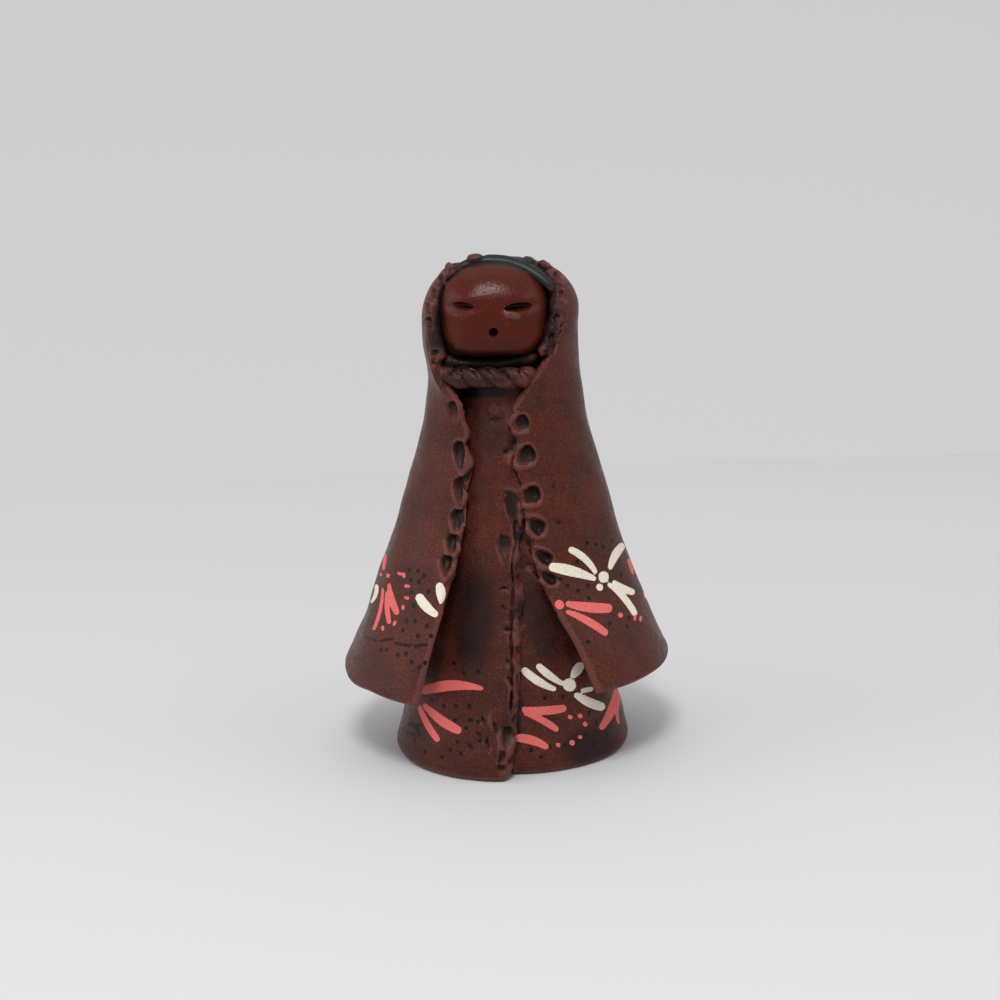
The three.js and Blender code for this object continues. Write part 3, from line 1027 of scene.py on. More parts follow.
def fuse(base: ClayMesh, added: list[ClayMesh], removed: list[ClayMesh], name: str) -> bpy.types.Object:
    """Joins closed clay meshes into one and cuts others out of it.

    Args:
        base: the first mesh.
        added: meshes to join to it.
        removed: meshes to cut out of the whole.
        name: the object's name.

    Returns:
        The one closed object.
    """
    whole = base.to_object(name)
    helpers = []
    for meshes, operation in ((added, "UNION"), (removed, "DIFFERENCE")):
        for i, mesh in enumerate(meshes):
            helper = mesh.to_object(f"{name}_{operation.lower()}_{i}")
            helpers.append(helper)
            boolean = whole.modifiers.new(helper.name, "BOOLEAN")
            boolean.operation = operation
            boolean.solver = "MANIFOLD"
            boolean.object = helper
    bake_modifiers(whole)
    for helper in helpers:
        mesh = helper.data
        bpy.data.objects.remove(helper)
        bpy.data.meshes.remove(mesh)
    return whole


def bake_modifiers(obj: bpy.types.Object) -> None:
    """Replaces the object's mesh by the result of its modifiers.

    Args:
        obj: the object.
    """
    depsgraph = bpy.context.evaluated_depsgraph_get()
    made = bpy.data.meshes.new_from_object(obj.evaluated_get(depsgraph))
    old = obj.data
    obj.modifiers.clear()
    obj.data = made
    bpy.data.meshes.remove(old)


@dataclass(frozen=True)
class Lens:
    """Where the photograph was taken from, in the clay's own frame, and its focal length."""

    target: tuple[float, float, float] = (-1.276, 0.0, 57.02)
    distance: float = 499.43
    pitch: float = 16.0
    roll: float = 1.43
    focal_pixels: float = 2300.0
    picture: float = 1000.0
    sensor: float = 36.0

    def forward(self) -> Vector:
        """The view direction."""
        down = math.radians(self.pitch)
        return Vector((0.0, math.cos(down), -math.sin(down)))

    def eye(self) -> Vector:
        """The camera's place."""
        return Vector(self.target) - self.forward() * self.distance

    def axes(self) -> tuple[Vector, Vector]:
        """The directions of the picture's right and up.

        Returns:
            Two unit vectors.
        """
        right = Vector((1.0, 0.0, 0.0))
        up = right.cross(self.forward())
        turn = math.radians(self.roll)
        picture_right = right * math.cos(turn) - up * math.sin(turn)
        picture_up = up * math.cos(turn) + right * math.sin(turn)
        return picture_right, picture_up

    def ray(self, x: float, y: float) -> Vector:
        """The direction of the sight line through a point of the picture, in its pixels.

        Args:
            x: pixels from the picture's left.
            y: pixels from its top.

        Returns:
            A unit vector.
        """
        right, up = self.axes()
        half = self.picture / 2.0
        return (self.forward() * self.focal_pixels + right * (x - half) + up * (half - y)).normalized()


class Paint(Enum):
    """What a stroke is laid down in, by the name of its vertex attribute."""

    WHITE = "white"
    PINK = "pink"
    BLACK = "black"


class Where(Enum):
    """How a place on the clay is given."""

    PICTURE = "pixels of the photograph's view"
    ROUND = "degrees round the figure from the front, and height in millimetres"


@dataclass(frozen=True)
class Stroke:
    """One brush stroke or scratched line, round at its ends.

    The widths are in pixels of the photograph's view, and the bend is the rise of its middle as a share
    of its length.
    """

    paint: Paint
    start: tuple[float, float]
    end: tuple[float, float]
    wide: float = 7.0
    tip: float = 4.0
    bend: float = 0.0
    where: Where = Where.PICTURE

    def path(self) -> np.ndarray:
        """Places along the stroke, and its half width there.

        Returns:
            A row of three numbers for each place: across, down or up, and the half width.
        """
        t = np.linspace(0.0, 1.0, 9)
        start, end = np.array(self.start), np.array(self.end)
        aside = np.array([end[1] - start[1], start[0] - end[0]])
        line = start + t[:, None] * (end - start) + (4.0 * self.bend * t * (1.0 - t))[:, None] * aside
        belly = np.sin(math.pi * np.clip(t * 0.75 + 0.25, 0.0, 1.0))
        half = (self.tip + (self.wide - self.tip) * belly) * 0.61
        return np.concatenate([line, half[:, None]], axis=1)


def brush(paint: Paint, *rows: tuple[float, ...]) -> list[Stroke]:
    """Strokes of one paint, from rows with the start, the end, the two widths and the bend."""
    return [Stroke(paint, row[0:2], row[2:4], *row[4:]) for row in rows]


@dataclass(frozen=True)
class Press:
    """A mark that a fingertip or a tool has left, or a lump where its depth is negative.

    Its head and tail are in pixels of the photograph's view, as its width is, and its depth is in
    millimetres. The mark is deepest and widest near its head. Its blackness is black glaze and painted shade.
    """

    head: tuple[float, float]
    tail: tuple[float, float]
    width: float
    depth: float = 1.0
    taper: float = 0.5
    lip: float = 0.2
    soot_and_shade: float = 1.0
    edge: float = 1.15
    hard_edge: float = 0.4
    soft_edge: float = 0.9

    def shape(self, seen: np.ndarray) -> tuple[np.ndarray, np.ndarray]:
        """How deep the mark is at places of the picture, and how black, with black glaze and painted shade.

        Args:
            seen: places in the picture, in its pixels.

        Returns:
            The depth in millimetres, and the blackness from 0 to 1.
        """
        head, tail = np.array(self.head), np.array(self.tail)
        length = max(float(np.linalg.norm(tail - head)), 0.1)
        axis = (tail - head) / length
        away = seen - (head + tail) / 2.0
        u = (away @ axis) / (length / 2.0 + self.width * 0.1)
        v = (away @ np.array([-axis[1], axis[0]])) / (self.width / 2.0)
        narrow = np.clip(1.0 - self.taper * (u + 1.0) / 2.0, 0.2, 1.0)
        reach = np.sqrt((v / narrow) ** 2 + np.where(u < 0.0, np.abs(u) ** 4.0, u**2))
        if self.depth == 0.0:
            return np.zeros(len(seen)), self.soot_and_shade * smooth_step((self.edge - reach) / self.soft_edge)
        scoop = np.clip(0.5 * (1.0 - u), 0.0, 1.0) ** (0.8 if self.taper > 0.0 else 0.1)
        bowl = np.clip(1.0 - reach**2, 0.0, 1.0) ** 0.5 * scoop * 1.15
        lip = np.exp(-(((reach - 1.35) / 0.35) ** 2)) * smooth_step((u + 1.2) / 1.6)
        # Blackness: black glaze and painted shade, darkest at the deep head and faint at the tail.
        tail_darkness = 0.12
        toward_head = tail_darkness + (1.0 - tail_darkness) * smooth_step((0.45 - u) / 1.3)
        black = smooth_step((self.edge - reach) / self.hard_edge) * toward_head
        return self.depth * bowl - abs(self.depth) * self.lip * lip, self.soot_and_shade * black


def presses(*rows: tuple[float, ...]) -> tuple[Press, ...]:
    """Marks from rows with the head, the tail and the width, then the other fields in their order."""
    return tuple(Press(row[0:2], row[2:4], *row[4:]) for row in rows)


def washes(*rows: tuple[float, ...]) -> tuple[Press, ...]:
    """Thin black washes without a dent, black glaze in some places and painted shade in others, from rows
    with the head, the tail, the width and the blackness.
    """
    return tuple(Press(row[0:2], row[2:4], row[4], 0.0, 0.0, 0.0, row[5]) for row in rows)


@dataclass
class FingerWork:
    """Every mark pressed into the clay, and the black washes of glaze and of painted shade, by place, in
    pixels of the photograph's view.
    """

    right_edge: tuple[Press, ...] = presses(
        (451, 403, 456, 420, 12, 1, 0.6), (458, 443, 461, 473, 15, 1.7, 0.75),
        (460, 479, 460, 508, 18, 1.8, 0.75), (458, 511, 457, 535, 19, 1.8, 0.7),
        (453.5, 536, 451, 556, 18, 1.8, 0.65), (448, 557, 444.5, 576, 17, 1.7, 0.6),
    )
    left_edge: tuple[Press, ...] = presses(
        (527, 421, 512, 427, 18, 1.4, 0.35), (533, 452, 515, 461, 20, 1.8, 0.35),
        (539, 493, 518, 499, 19, 1.9, 0.35), (543, 530, 526, 521, 18, 1.8, 0.35),
        (551, 561, 532, 551, 14, 1.7, 0.35), (556, 581, 535, 572, 13, 1.6, 0.35),
        (561, 524, 553, 519, 8, 0.4, 0.2, 0.2, 0.35), (555, 487, 548, 483, 8, 0.3, 0.2, 0.2, 0.3),
    )
    hood: tuple[Press, ...] = presses(
        (435, 350, 434, 363, 8, 0.9), (428, 318, 430, 331, 8, 1),
        (426, 303, 429, 314, 8, 0.8, 0.5, 0.2, 0.6), (432, 288, 435, 299, 8, 0.8, 0.5, 0.2, 0.7),
        (439, 275, 445, 284, 8, 0.9, 0.5, 0.2, 0.8), (452, 262, 460, 268, 7, 0.8, 0.5, 0.2, 0.8),
        (538, 264, 545, 269, 7, 0.5, 0.5, 0.2, 0.8), (555, 272, 561, 281, 8, 0.8, 0.5, 0.2, 0.8),
        (561, 291, 565, 301, 7, 0.7, 0.5, 0.2, 0.7), (556, 315, 560, 326, 9, 1.1),
        (551, 334, 554, 349, 9, 1.1), (547, 351, 543, 361, 7, 0.7, 0.5, 0.2, 0.7),
    )
    seam: tuple[Press, ...] = presses(
        (489, 409, 505, 413, 13, -0.5, 0.1, 0, 0), (489, 419, 512, 419, 4, 0.8, 0.2),
        (503, 451, 518, 449, 5, 0.8, 0.3), (511, 494, 514, 526, 16, 1, 0.6, 0.12, 0.42),
        (504, 492, 518, 495, 3.4, 0.3, 0, 0, 0.75), (503, 494, 510, 518, 2.6, 0.2, 0, 0, 0.65),
        (505, 539, 507, 567, 18, 1, 0.7, 0.12, 0.45), (498, 537, 513, 537, 4.2, 0.5, 0, 0, 0.9),
        (496, 539, 503, 560, 2.6, 0.2, 0, 0, 0.65), (517, 520, 514, 529, 4, 0.6, 0, 0.1, 0.8),
        (514, 528, 517, 543, 3.4, 0.5, 0, 0.1, 0.7), (517, 542, 512, 563, 3.4, 0.5, 0, 0.1, 0.7),
        (512, 562, 513, 586, 3.4, 0.5, 0, 0.1, 0.7), (513, 585, 512, 610, 3.4, 0.5, 0, 0.1, 0.7),
        (512, 608, 511, 634, 3.4, 0.5, 0, 0.1, 0.7), (511, 632, 512, 664, 3.4, 0.5, 0, 0.1, 0.7),
        (512, 662, 513, 691, 4, 0.6, 0, 0.1, 0.8), (501, 588, 510, 588, 4, 0.7, 0.3),
        (502, 606, 508, 611, 5, 0.6, 0.3), (504, 629, 515, 628, 5, 0.8, 0.3),
        (506, 660, 513, 664, 6, 0.6, 0.3), (509, 676, 514, 690, 6, 0.8, 0.4),
        (513, 690, 510, 716, 4, 1, 0.3), (509, 728, 506, 752, 14, 1.3, 0.3),
        (503, 752, 499, 765, 8, 0.8, 0.5), (497, 768, 512, 769, 7, 0.7, 0.2),
        (489, 713, 492, 735, 5, -0.5, 0.2, 0, 0), (481, 716, 486, 728, 5, 0.7, 0.4),
        (477, 732, 483, 741, 5, 0.6, 0.4), (486, 738, 489, 752, 5, 0.7, 0.4),
        (494, 722, 497, 736, 4, 0.7, 0.4), (468, 745, 475, 752, 5, 0.5, 0.4),
    )
    collar: tuple[Press, ...] = presses(
        (442, 367, 441, 384, 5, -0.5, 0, 0, 0.3), (446, 370, 455, 378, 3, 0.5, 0.2),
        (454, 369, 446, 379, 3, 0.5, 0.2), (460, 366, 464, 384, 3, 0.5, 0.2),
        (470, 366, 482, 382, 3.5, 0.6, 0.2), (486, 366, 497, 383, 3.5, 0.6, 0.2),
        (503, 368, 512, 384, 3.5, 0.6, 0.2), (518, 368, 524, 382, 3, 0.5, 0.2),
    )
    lumps: tuple[Press, ...] = presses(
        (446, 268, 458, 262, 9, -0.7, 0, 0, 0.5), (468, 259, 482, 257, 8, -0.7, 0, 0, 0.5),
        (524, 260, 534, 261, 8, -0.6, 0, 0, 0.5), (540, 263, 550, 267, 8, -0.6, 0, 0, 0.5),
        (503, 315, 521, 317, 9, -0.4, 0, 0, 0),
    )
    # Black washes. Painted shade: those over the lower dress on both sides of the seam under the shawl's
    # flaps, on the chest and in a band under the collar, in the throat under the chin, and along the seam's
    # lapped edge. Black glaze: those at the crack in the foot. The rest darken the hood's rim, the collar,
    # the lower right hem and a spot at the dress's left foot.
    stains_and_shade: tuple[Press, ...] = washes(
        (479, 562, 468, 694, 74, 0.66), (526, 570, 560, 694, 50, 0.54), (438, 360, 441, 288, 20, 0.74),
        (451, 280, 472, 262, 12, 0.5), (547, 360, 557, 284, 22, 0.74), (622, 735, 550, 758, 60, 0.66),
        (425, 377, 547, 373, 36, 0.66), (488, 396, 490, 474, 66, 0.42), (449, 392, 522, 392, 17, 0.95),
        (437, 363, 543, 359, 22, 1.4), (438, 376, 538, 376, 24, 0.55), (433, 362, 430, 300, 17, 0.62),
        (430, 305, 454, 268, 15, 0.62), (450, 270, 485, 257, 13, 0.6), (518, 256, 558, 276, 13, 0.6),
        (553, 270, 561, 312, 15, 0.6), (560, 303, 545, 360, 16, 0.6), (505, 490, 503, 570, 16, 0.25),
        (512, 690, 503, 762, 22, 0.55), (478, 720, 492, 750, 22, 0.3), (401, 731, 423, 737, 9, 0.7),
    )

    def all(self) -> list[Press]:
        """All the marks."""
        marks = [*self.right_edge, *self.left_edge, *self.hood, *self.seam, *self.collar]
        return [*marks, *self.lumps, *self.stains_and_shade]


@dataclass(frozen=True)
class HairBand:
    """The crescent of hair over the forehead, between two lines in pixels of the photograph's view."""

    low: tuple[tuple[float, float], ...] = (
        (448, 279), (458, 271), (468, 267), (480, 265), (493, 264.6), (512, 267.5), (529, 275.5),
        (544, 285), (553, 289.5),
    )
    high: tuple[tuple[float, float], ...] = (
        (448, 276.5), (462, 267), (475, 262), (487, 255.5), (502, 253.5), (521, 258), (537, 268),
        (549, 277), (554, 287),
    )
    over_rim: float = 1.8
    rise: float = 0.2
    lowest: float = 98.0
    level: float = 2.0
    facing: float = -0.1
    soft_relief: float = 2.2
    soft_colour: float = 1.2

    def cover(self, seen: np.ndarray) -> np.ndarray:
        """How far inside the crescent each place of the picture is, in pixels.

        Args:
            seen: places in the picture, in its pixels.

        Returns:
            The distances, negative outside.
        """
        low, high = np.array(self.low), np.array(self.high)
        under = np.interp(seen[:, 0], low[:, 0], low[:, 1]) - seen[:, 1]
        over = seen[:, 1] - np.interp(seen[:, 0], high[:, 0], high[:, 1]) + self.over_rim
        ends = np.minimum(seen[:, 0] - low[0, 0], low[-1, 0] - seen[:, 0])
        return np.minimum(np.minimum(under, over), ends)


@dataclass(frozen=True)
class FaceMask:
    """The smooth red face: a rounded box, in pixels of the photograph's view."""

    middle: tuple[float, float] = (494.0, 312.0)
    half_size: tuple[float, float] = (56.0, 47.0)
    roundness: float = 3.0
    blend: float = 0.12
    level: float = -4.0
    lowest: float = 86.0
    rim_top: float = 275.0
    rim_darkness: float = 0.8

    def cover(self, seen: np.ndarray, points: np.ndarray) -> np.ndarray:
        """How far inside the face each vertex is.

        Args:
            seen: its place in the picture, in pixels.
            points: its place, in millimetres.

        Returns:
            The distance as a share of the face's size, negative outside.
        """
        away = np.abs((seen - np.array(self.middle)) / np.array(self.half_size))
        inside = 1.0 - (away**self.roundness).sum(1) ** (1.0 / self.roundness)
        ahead = (points[:, 1] < self.level) & (points[:, 2] > self.lowest)
        return np.where(ahead, inside, -1.0)

    def rim(self, seen: np.ndarray, inside: np.ndarray) -> np.ndarray:
        """How black the groove round the face is.

        Args:
            seen: each vertex's place in the picture, in pixels.
            inside: how far inside the face it is.

        Returns:
            The blackness, from 0 to 1.
        """
        band = self.rim_darkness * np.exp(-(((inside - 0.04) / 0.07) ** 2))
        return np.where(seen[:, 1] > self.rim_top, band, 0.0)


@dataclass
class Decoration:
    """The painted flowers and the pricked dots, in pixels of the photograph's view where it shows them."""

    strokes: list[Stroke] = field(
        default_factory=lambda: [
            *brush(
                Paint.WHITE,
                (603.7, 576.5, 603.7, 577.5, 8.5, 8.5), (599.5, 587, 599.9, 587.6, 5.5, 5.5),
                (571.6, 550, 595, 571.4, 6, 4, 0.08), (553.5, 567.3, 594, 578.6, 9, 4, 0.03),
                (621.6, 546.5, 610.4, 567.3, 7, 4, -0.06), (631.8, 591.8, 614.5, 582.7, 6, 4, 0.05),
                (634.5, 613, 609.4, 584.7, 5.5, 3.5, -0.06), (376.5, 586, 371.5, 602, 3.4, 2, 0.1),
                (419.8, 598, 435, 614, 8, 5.5, -0.06), (439.8, 586.5, 440.8, 602.5, 8, 3, 0.05),
                (569.2, 684.8, 569.8, 685.2, 10.5, 10.5), (525, 671, 554, 689, 7, 4, -0.05),
                (539.5, 667, 561, 683, 6.5, 4, -0.03), (580, 666, 573, 676, 8, 4.5),
                (591, 689, 583, 690.6, 4, 4), (601, 706.5, 577, 695.5, 8, 5, 0.04),
            ),
            *brush(
                Paint.PINK,
                (559.2, 604.4, 559.7, 605, 7.5, 7.5), (608, 608.2, 568.6, 604, 8.5, 5, 0.03),
                (605, 632.4, 567.8, 612, 6.5, 3.5, -0.04), (620.4, 615, 620.8, 615.2, 4.2, 4.2),
                (635, 616, 635, 619.5, 2.4, 2.4), (640.6, 617, 640.6, 620.5, 2.4, 2.4),
                (628.8, 560, 633, 573.5, 3, 2), (388, 575.3, 388, 575.8, 3.4, 3.4),
                (381, 574.3, 381, 574.8, 2.4, 2.4), (385, 555, 383.5, 569, 3, 2),
                (396.5, 612, 389, 584.7, 5.8, 2.8, 0.05), (389, 622, 386.7, 592, 4.2, 2, 0.03),
                (374, 628.6, 382.7, 589, 3, 2, -0.05), (398.5, 573.5, 401.5, 573.8, 2.6, 2.6),
                (404, 574, 404, 577, 2.6, 2.6), (405.5, 586, 408.5, 586.3, 2.8, 2.8),
                (405.5, 598, 408, 598, 2.8, 2.8), (403, 606, 403, 608.5, 2.6, 2.6),
                (395, 622, 394, 624.5, 2.6, 2.6), (382.7, 627, 382.7, 629.5, 2.6, 2.6),
                (563, 708.5, 523.5, 709, 7.2, 3.6, 0.05), (556, 729, 524.5, 713.5, 5.8, 2.6, -0.05),
                (519.5, 738, 546, 746.6, 7.5, 5, 0.06), (570, 717, 570.3, 717.3, 4, 4),
                (580, 716, 580.3, 716.3, 4, 4), (585, 724, 585.3, 724.3, 4, 4),
                (580, 737, 580.3, 737.3, 3.6, 3.6), (572, 742.6, 572.3, 742.9, 4.6, 4.6),
                (558, 745, 558.3, 745.3, 4, 4), (617.6, 692, 602, 727, 7.5, 5, 0.05),
                (619.5, 697.5, 618.5, 723, 3, 2, -0.08), (425.5, 690, 481.5, 688.5, 9, 3.4, 0.07),
                (457.5, 730, 425, 705.5, 8, 4, 0.05), (437, 739, 419.6, 707, 5.5, 3.5, 0.04),
            ),
            *brush(
                Paint.BLACK,
                (365, 637, 376, 640.5, 2.2, 2), (381, 641, 393, 638.5, 2.2, 2),
                (396, 643.5, 411, 646, 2.6, 2), (415, 646, 428, 645, 2.6, 2),
                (408, 724, 420, 736, 3, 2, 0.2), (412, 722, 422, 725, 2.4, 2, -0.2),
            ),
        ]
    )
    dots: tuple[tuple[float, float], ...] = (
        (587, 543), (603, 547), (612, 541), (621, 574.5), (567, 586), (578, 591), (588, 586), (589, 598),
        (588, 642), (610, 623.5), (627, 626.5), (629, 618), (646, 618), (596, 545), (577, 562),
        (560, 579), (409.6, 570), (418, 571), (424.5, 575.5), (411, 580), (419, 582), (428.6, 592),
        (413.7, 606), (407, 621), (415, 621), (403, 630.6), (418, 636), (380.6, 650), (386.5, 650),
        (398, 655), (406, 654), (411.6, 662), (419, 668), (425, 663), (412, 592), (373, 611), (368, 622),
        (427, 626), (431, 636), (432, 700), (456, 706), (469.5, 706), (411, 718), (470, 720),
        (457.5, 742), (450.6, 750), (461, 753.5), (466, 728), (478, 721.6), (464, 673), (478, 671.7),
        (454, 663), (606.5, 734.5), (586, 734.5), (589, 713), (549.6, 747), (565, 745), (596, 722),
        (563, 697), (545, 698), (593, 744), (442, 757), (425, 752), (415, 741), (480, 741), (455, 720),
        (444, 706), (541, 757), (531, 750),
    )
    petals: tuple[tuple[float, float], ...] = (
        (-1.0, 0.5), (-0.5, 0.95), (0.6, 0.9), (0.95, -0.35), (0.4, -0.95),
    )
    guessed_flowers: tuple[tuple[float, float, float], ...] = (
        (104.0, 31.0, 6.5), (152.0, 35.0, 7.0), (203.0, 34.0, 6.5),
    )
    guessed_dress_flowers: tuple[float, ...] = (98.0, 136.0, 176.0, 216.0)

    def __post_init__(self) -> None:
        """Adds flowers round the sides and the back, which the photograph does not show."""
        for turn, height, size in self.guessed_flowers:
            self.strokes += self.flower(Paint.WHITE, turn, height, size)
            self.strokes += self.flower(Paint.PINK, turn + 25.0, height - 4.0, size - 2.2)
        self.strokes += self.flower(Paint.WHITE, 247.0, 36.0, 6.0)
        for turn, paint in zip(self.guessed_dress_flowers, (Paint.WHITE, Paint.PINK) * 2):
            self.strokes += self.flower(paint, turn, 11.0, 5.0)
        self.round_dots = [(turn, 23.5 + 2.5 * math.sin(turn)) for turn in np.arange(96.0, 256.0, 5.0)]
        self.round_dots += [(turn, 4.5 + 1.5 * math.sin(turn)) for turn in np.arange(84.0, 250.0, 6.0)]

    def flower(self, paint: Paint, turn: float, height: float, size: float) -> list[Stroke]:
        """One painted flower on a side that the photograph does not show.

        Args:
            paint: its colour.
            turn: its place round the figure, in degrees.
            height: its height, in millimetres.
            size: how far its petals reach in millimetres, and how wide they are in the picture's pixels.

        Returns:
            Its middle and its petals.
        """
        turning = size / math.radians(28.0)
        strokes = [Stroke(paint, (turn, height), (turn + 0.3, height), size, size, 0.0, Where.ROUND)]
        for across, up in self.petals:
            outer = (turn + across * turning, height + up * size)
            inner = (turn + 0.32 * across * turning, height + 0.32 * up * size)
            strokes.append(Stroke(paint, outer, inner, size, 0.5 * size, 0.0, Where.ROUND))
        return strokes


@dataclass
class Painter:
    """Finds where strokes and dots lie on the clay, and stores them as vertex attributes."""

    mesh: bpy.types.Mesh
    lens: Lens
    decoration: Decoration
    inward_rounds: int = 6
    pit_rounds: int = 10
    crease_rounds: int = 90
    press_reach: float = 4.0
    stroke_reach: float = 3.2
    dot_reach: float = 2.5

    def __post_init__(self) -> None:
        """Reads the clay's points and normals, in millimetres of its own frame."""
        self.points, self.normals = vertex_data(self.mesh)
        self.grow_tree()
        edges = np.empty(len(self.mesh.edges) * 2, dtype=np.int64)
        self.mesh.edges.foreach_get("vertices", edges)
        self.edges = edges.reshape(-1, 2)

    def grow_tree(self) -> None:
        """Makes the clay ready for sight lines."""
        faces = [tuple(face.vertices) for face in self.mesh.polygons]
        self.tree = BVHTree.FromPolygons([Vector(point) for point in self.points], faces)

    def faces_lens(self) -> np.ndarray:
        """How squarely each vertex faces the camera."""
        return (unit(np.array(self.lens.eye()) - self.points) * self.normals).sum(-1)

    def work_clay(self, work: FingerWork, band: HairBand, mask: FaceMask) -> None:
        """Presses every mark in, raises the hair, and stores where the hair and the face lie and how black
        the clay is, with black glaze and painted shade.

        Args:
            work: the marks.
            band: the hair.
            mask: the face.
        """
        seen = self.picture(self.points)
        depth, soot_and_shade = self.press(work, seen)
        in_band = band.cover(seen)
        high_up = (self.points[:, 2] > band.lowest) & (self.points[:, 1] < band.level)
        on_top = high_up & (self.faces_lens() > band.facing)
        depth -= band.rise * np.where(on_top, smooth_step(in_band / band.soft_relief), 0.0)
        inward = -unit(self.spread(self.normals, self.inward_rounds))
        self.points = self.points + inward * depth[:, None]
        self.mesh.vertices.foreach_set("co", self.points.ravel())
        self.mesh.update()
        self.normals = vertex_data(self.mesh)[1]
        self.grow_tree()
        self.store("hair", np.where(on_top, smooth_step(in_band / band.soft_colour), 0.0))
        inside = mask.cover(seen, self.points)
        self.store("face", smooth_step(inside / mask.blend))
        # Blackness: black glaze in the marks and washes, and painted shade in their hollows and in the
        # shading washes; a darker band round the face.
        self.store("soot_and_shade", np.maximum(soot_and_shade, mask.rim(seen, inside)))

    def press(self, work: FingerWork, seen: np.ndarray) -> tuple[np.ndarray, np.ndarray]:
        """How deep each vertex is pressed in, and how black it is.

        Args:
            work: the marks.
            seen: each vertex's place in the picture, in pixels.

        Returns:
            The depth in millimetres and the blackness from 0 to 1, for each vertex.
        """
        depth, soot_and_shade = np.zeros(len(seen)), np.zeros(len(seen))
        front = smooth_step((self.faces_lens() + 0.15) / 0.3)
        for press in work.all():
            middle = ((press.head[0] + press.tail[0]) / 2.0, (press.head[1] + press.tail[1]) / 2.0)
            spot = self.land(middle, Where.PICTURE)
            reach = self.press_reach + 0.5 * PIXEL * math.dist(press.head, press.tail)
            near = np.flatnonzero(np.linalg.norm(self.points - spot, axis=1) < reach)
            sunk, black = press.shape(seen[near])
            depth[near] += sunk * front[near]
            soot_and_shade[near] = np.maximum(soot_and_shade[near], black * front[near])
        return depth, soot_and_shade

    def land(self, place: tuple[float, float], where: Where) -> np.ndarray:
        """The point of the clay at a place.

        Args:
            place: its two numbers.
            where: what they mean.

        Returns:
            The point, in millimetres, far off when the sight line misses the clay.
        """
        if where is Where.PICTURE:
            origin, direction = self.lens.eye(), self.lens.ray(*place)
        else:
            turn = math.radians(place[0])
            out = Vector((math.sin(turn), -math.cos(turn), 0.0))
            origin, direction = out * 80.0 + Vector((0.0, 0.0, place[1])), -out
        hit = self.tree.ray_cast(origin, direction)[0]
        return np.array(hit) if hit is not None else np.full(3, MISSED)

    def picture(self, points: np.ndarray) -> np.ndarray:
        """Where points appear in the photograph's view, in pixels.

        Args:
            points: points, in millimetres.

        Returns:
            Two pixel numbers for each point.
        """
        away = points - np.array(self.lens.eye())
        right, up = (np.array(axis) for axis in self.lens.axes())
        depth = away @ np.array(self.lens.forward())
        half = self.lens.picture / 2.0
        x = half + self.lens.focal_pixels * (away @ right) / depth
        y = half - self.lens.focal_pixels * (away @ up) / depth
        return np.stack([x, y], axis=-1)

    def stroke_distance(self, stroke: Stroke) -> np.ndarray:
        """How far each vertex is outside a stroke, in millimetres.

        Args:
            stroke: the stroke.

        Returns:
            A distance for each vertex, negative inside the stroke.
        """
        path = stroke.path()
        out = np.full(len(self.points), FAR_OFF)
        landed = np.array([self.land(tuple(place), stroke.where) for place in path[:, :2]])
        landed = landed[landed[:, 0] < MISSED]
        if len(landed) == 0:
            return out
        reach = np.linalg.norm(self.points[:, None] - landed[None], axis=-1).min(1)
        near = np.flatnonzero(reach < self.stroke_reach)
        if stroke.where is Where.PICTURE:
            seen, line, scale = self.picture(self.points[near]), path[:, :2], PIXEL
            half = path[:, 2]
        else:
            seen, line, scale = self.points[near], landed, 1.0
            half = np.interp(np.linspace(0, 1, len(landed)), np.linspace(0, 1, len(path)), path[:, 2]) * PIXEL
        start, step = line[:-1], np.diff(line, axis=0)
        square = np.maximum((step**2).sum(-1), 1e-9)
        along = np.clip(((seen[:, None] - start[None]) * step[None]).sum(-1) / square[None], 0.0, 1.0)
        nearest = start[None] + along[..., None] * step[None]
        width = half[:-1][None] * (1.0 - along) + half[1:][None] * along
        out[near] = (np.linalg.norm(seen[:, None] - nearest, axis=-1) - width).min(1) * scale
        return out

    def spread(self, values: np.ndarray, times: int) -> np.ndarray:
        """Values averaged with their neighbours' many times over.

        Args:
            values: a number or a vector for each vertex.
            times: how often they are averaged.

        Returns:
            The averaged values.
        """
        a, b = self.edges[:, 0], self.edges[:, 1]
        count = len(self.points)
        degree = np.maximum(np.bincount(a, minlength=count) + np.bincount(b, minlength=count), 1)
        columns = values.reshape(count, -1).copy()
        for _ in range(times):
            for k in range(columns.shape[1]):
                column = columns[:, k]
                total = np.bincount(a, column[b], count) + np.bincount(b, column[a], count)
                columns[:, k] = 0.5 * column + 0.5 * total / degree
        return columns.reshape(values.shape)

    def hollows(self, times: int) -> np.ndarray:
        """How deep each vertex lies under its smoothed surroundings, in millimetres."""
        return ((self.spread(self.points, times) - self.points) * self.normals).sum(-1)

    def store(self, name: str, values: np.ndarray) -> None:
        """Stores one attribute.

        Args:
            name: its name.
            values: a number or a vector for each vertex.
        """
        kind, key = ("FLOAT", "value") if values.ndim == 1 else ("FLOAT_VECTOR", "vector")
        attribute = self.mesh.attributes.new(name, kind, "POINT")
        attribute.data.foreach_set(key, values.astype(np.float32).ravel())

    def paint(self) -> None:
        """Stores the strokes, the dots, and how deep each vertex lies under its surroundings."""
        for paint in Paint:
            gaps = [self.stroke_distance(s) for s in self.decoration.strokes if s.paint is paint]
            self.store(paint.value, np.min(gaps, axis=0))
        spots = [self.land(dot, Where.PICTURE) for dot in self.decoration.dots]
        spots = np.array(spots + [self.land(dot, Where.ROUND) for dot in self.decoration.round_dots])
        gap = np.linalg.norm(self.points[:, None] - spots[None], axis=-1)
        close = gap.min(1) < self.dot_reach
        offset = self.points - spots[gap.argmin(1)]
        self.store("dot", np.where(close[:, None], offset, FAR_OFF))
        self.store("dot_gap", gap.min(1))
        # Hollow depth: the material paints shade and black glaze into the hollows and a paler sheen on their
        # edges.
        self.store("pit", self.hollows(self.pit_rounds))
        self.store("crease", self.hollows(self.crease_rounds))


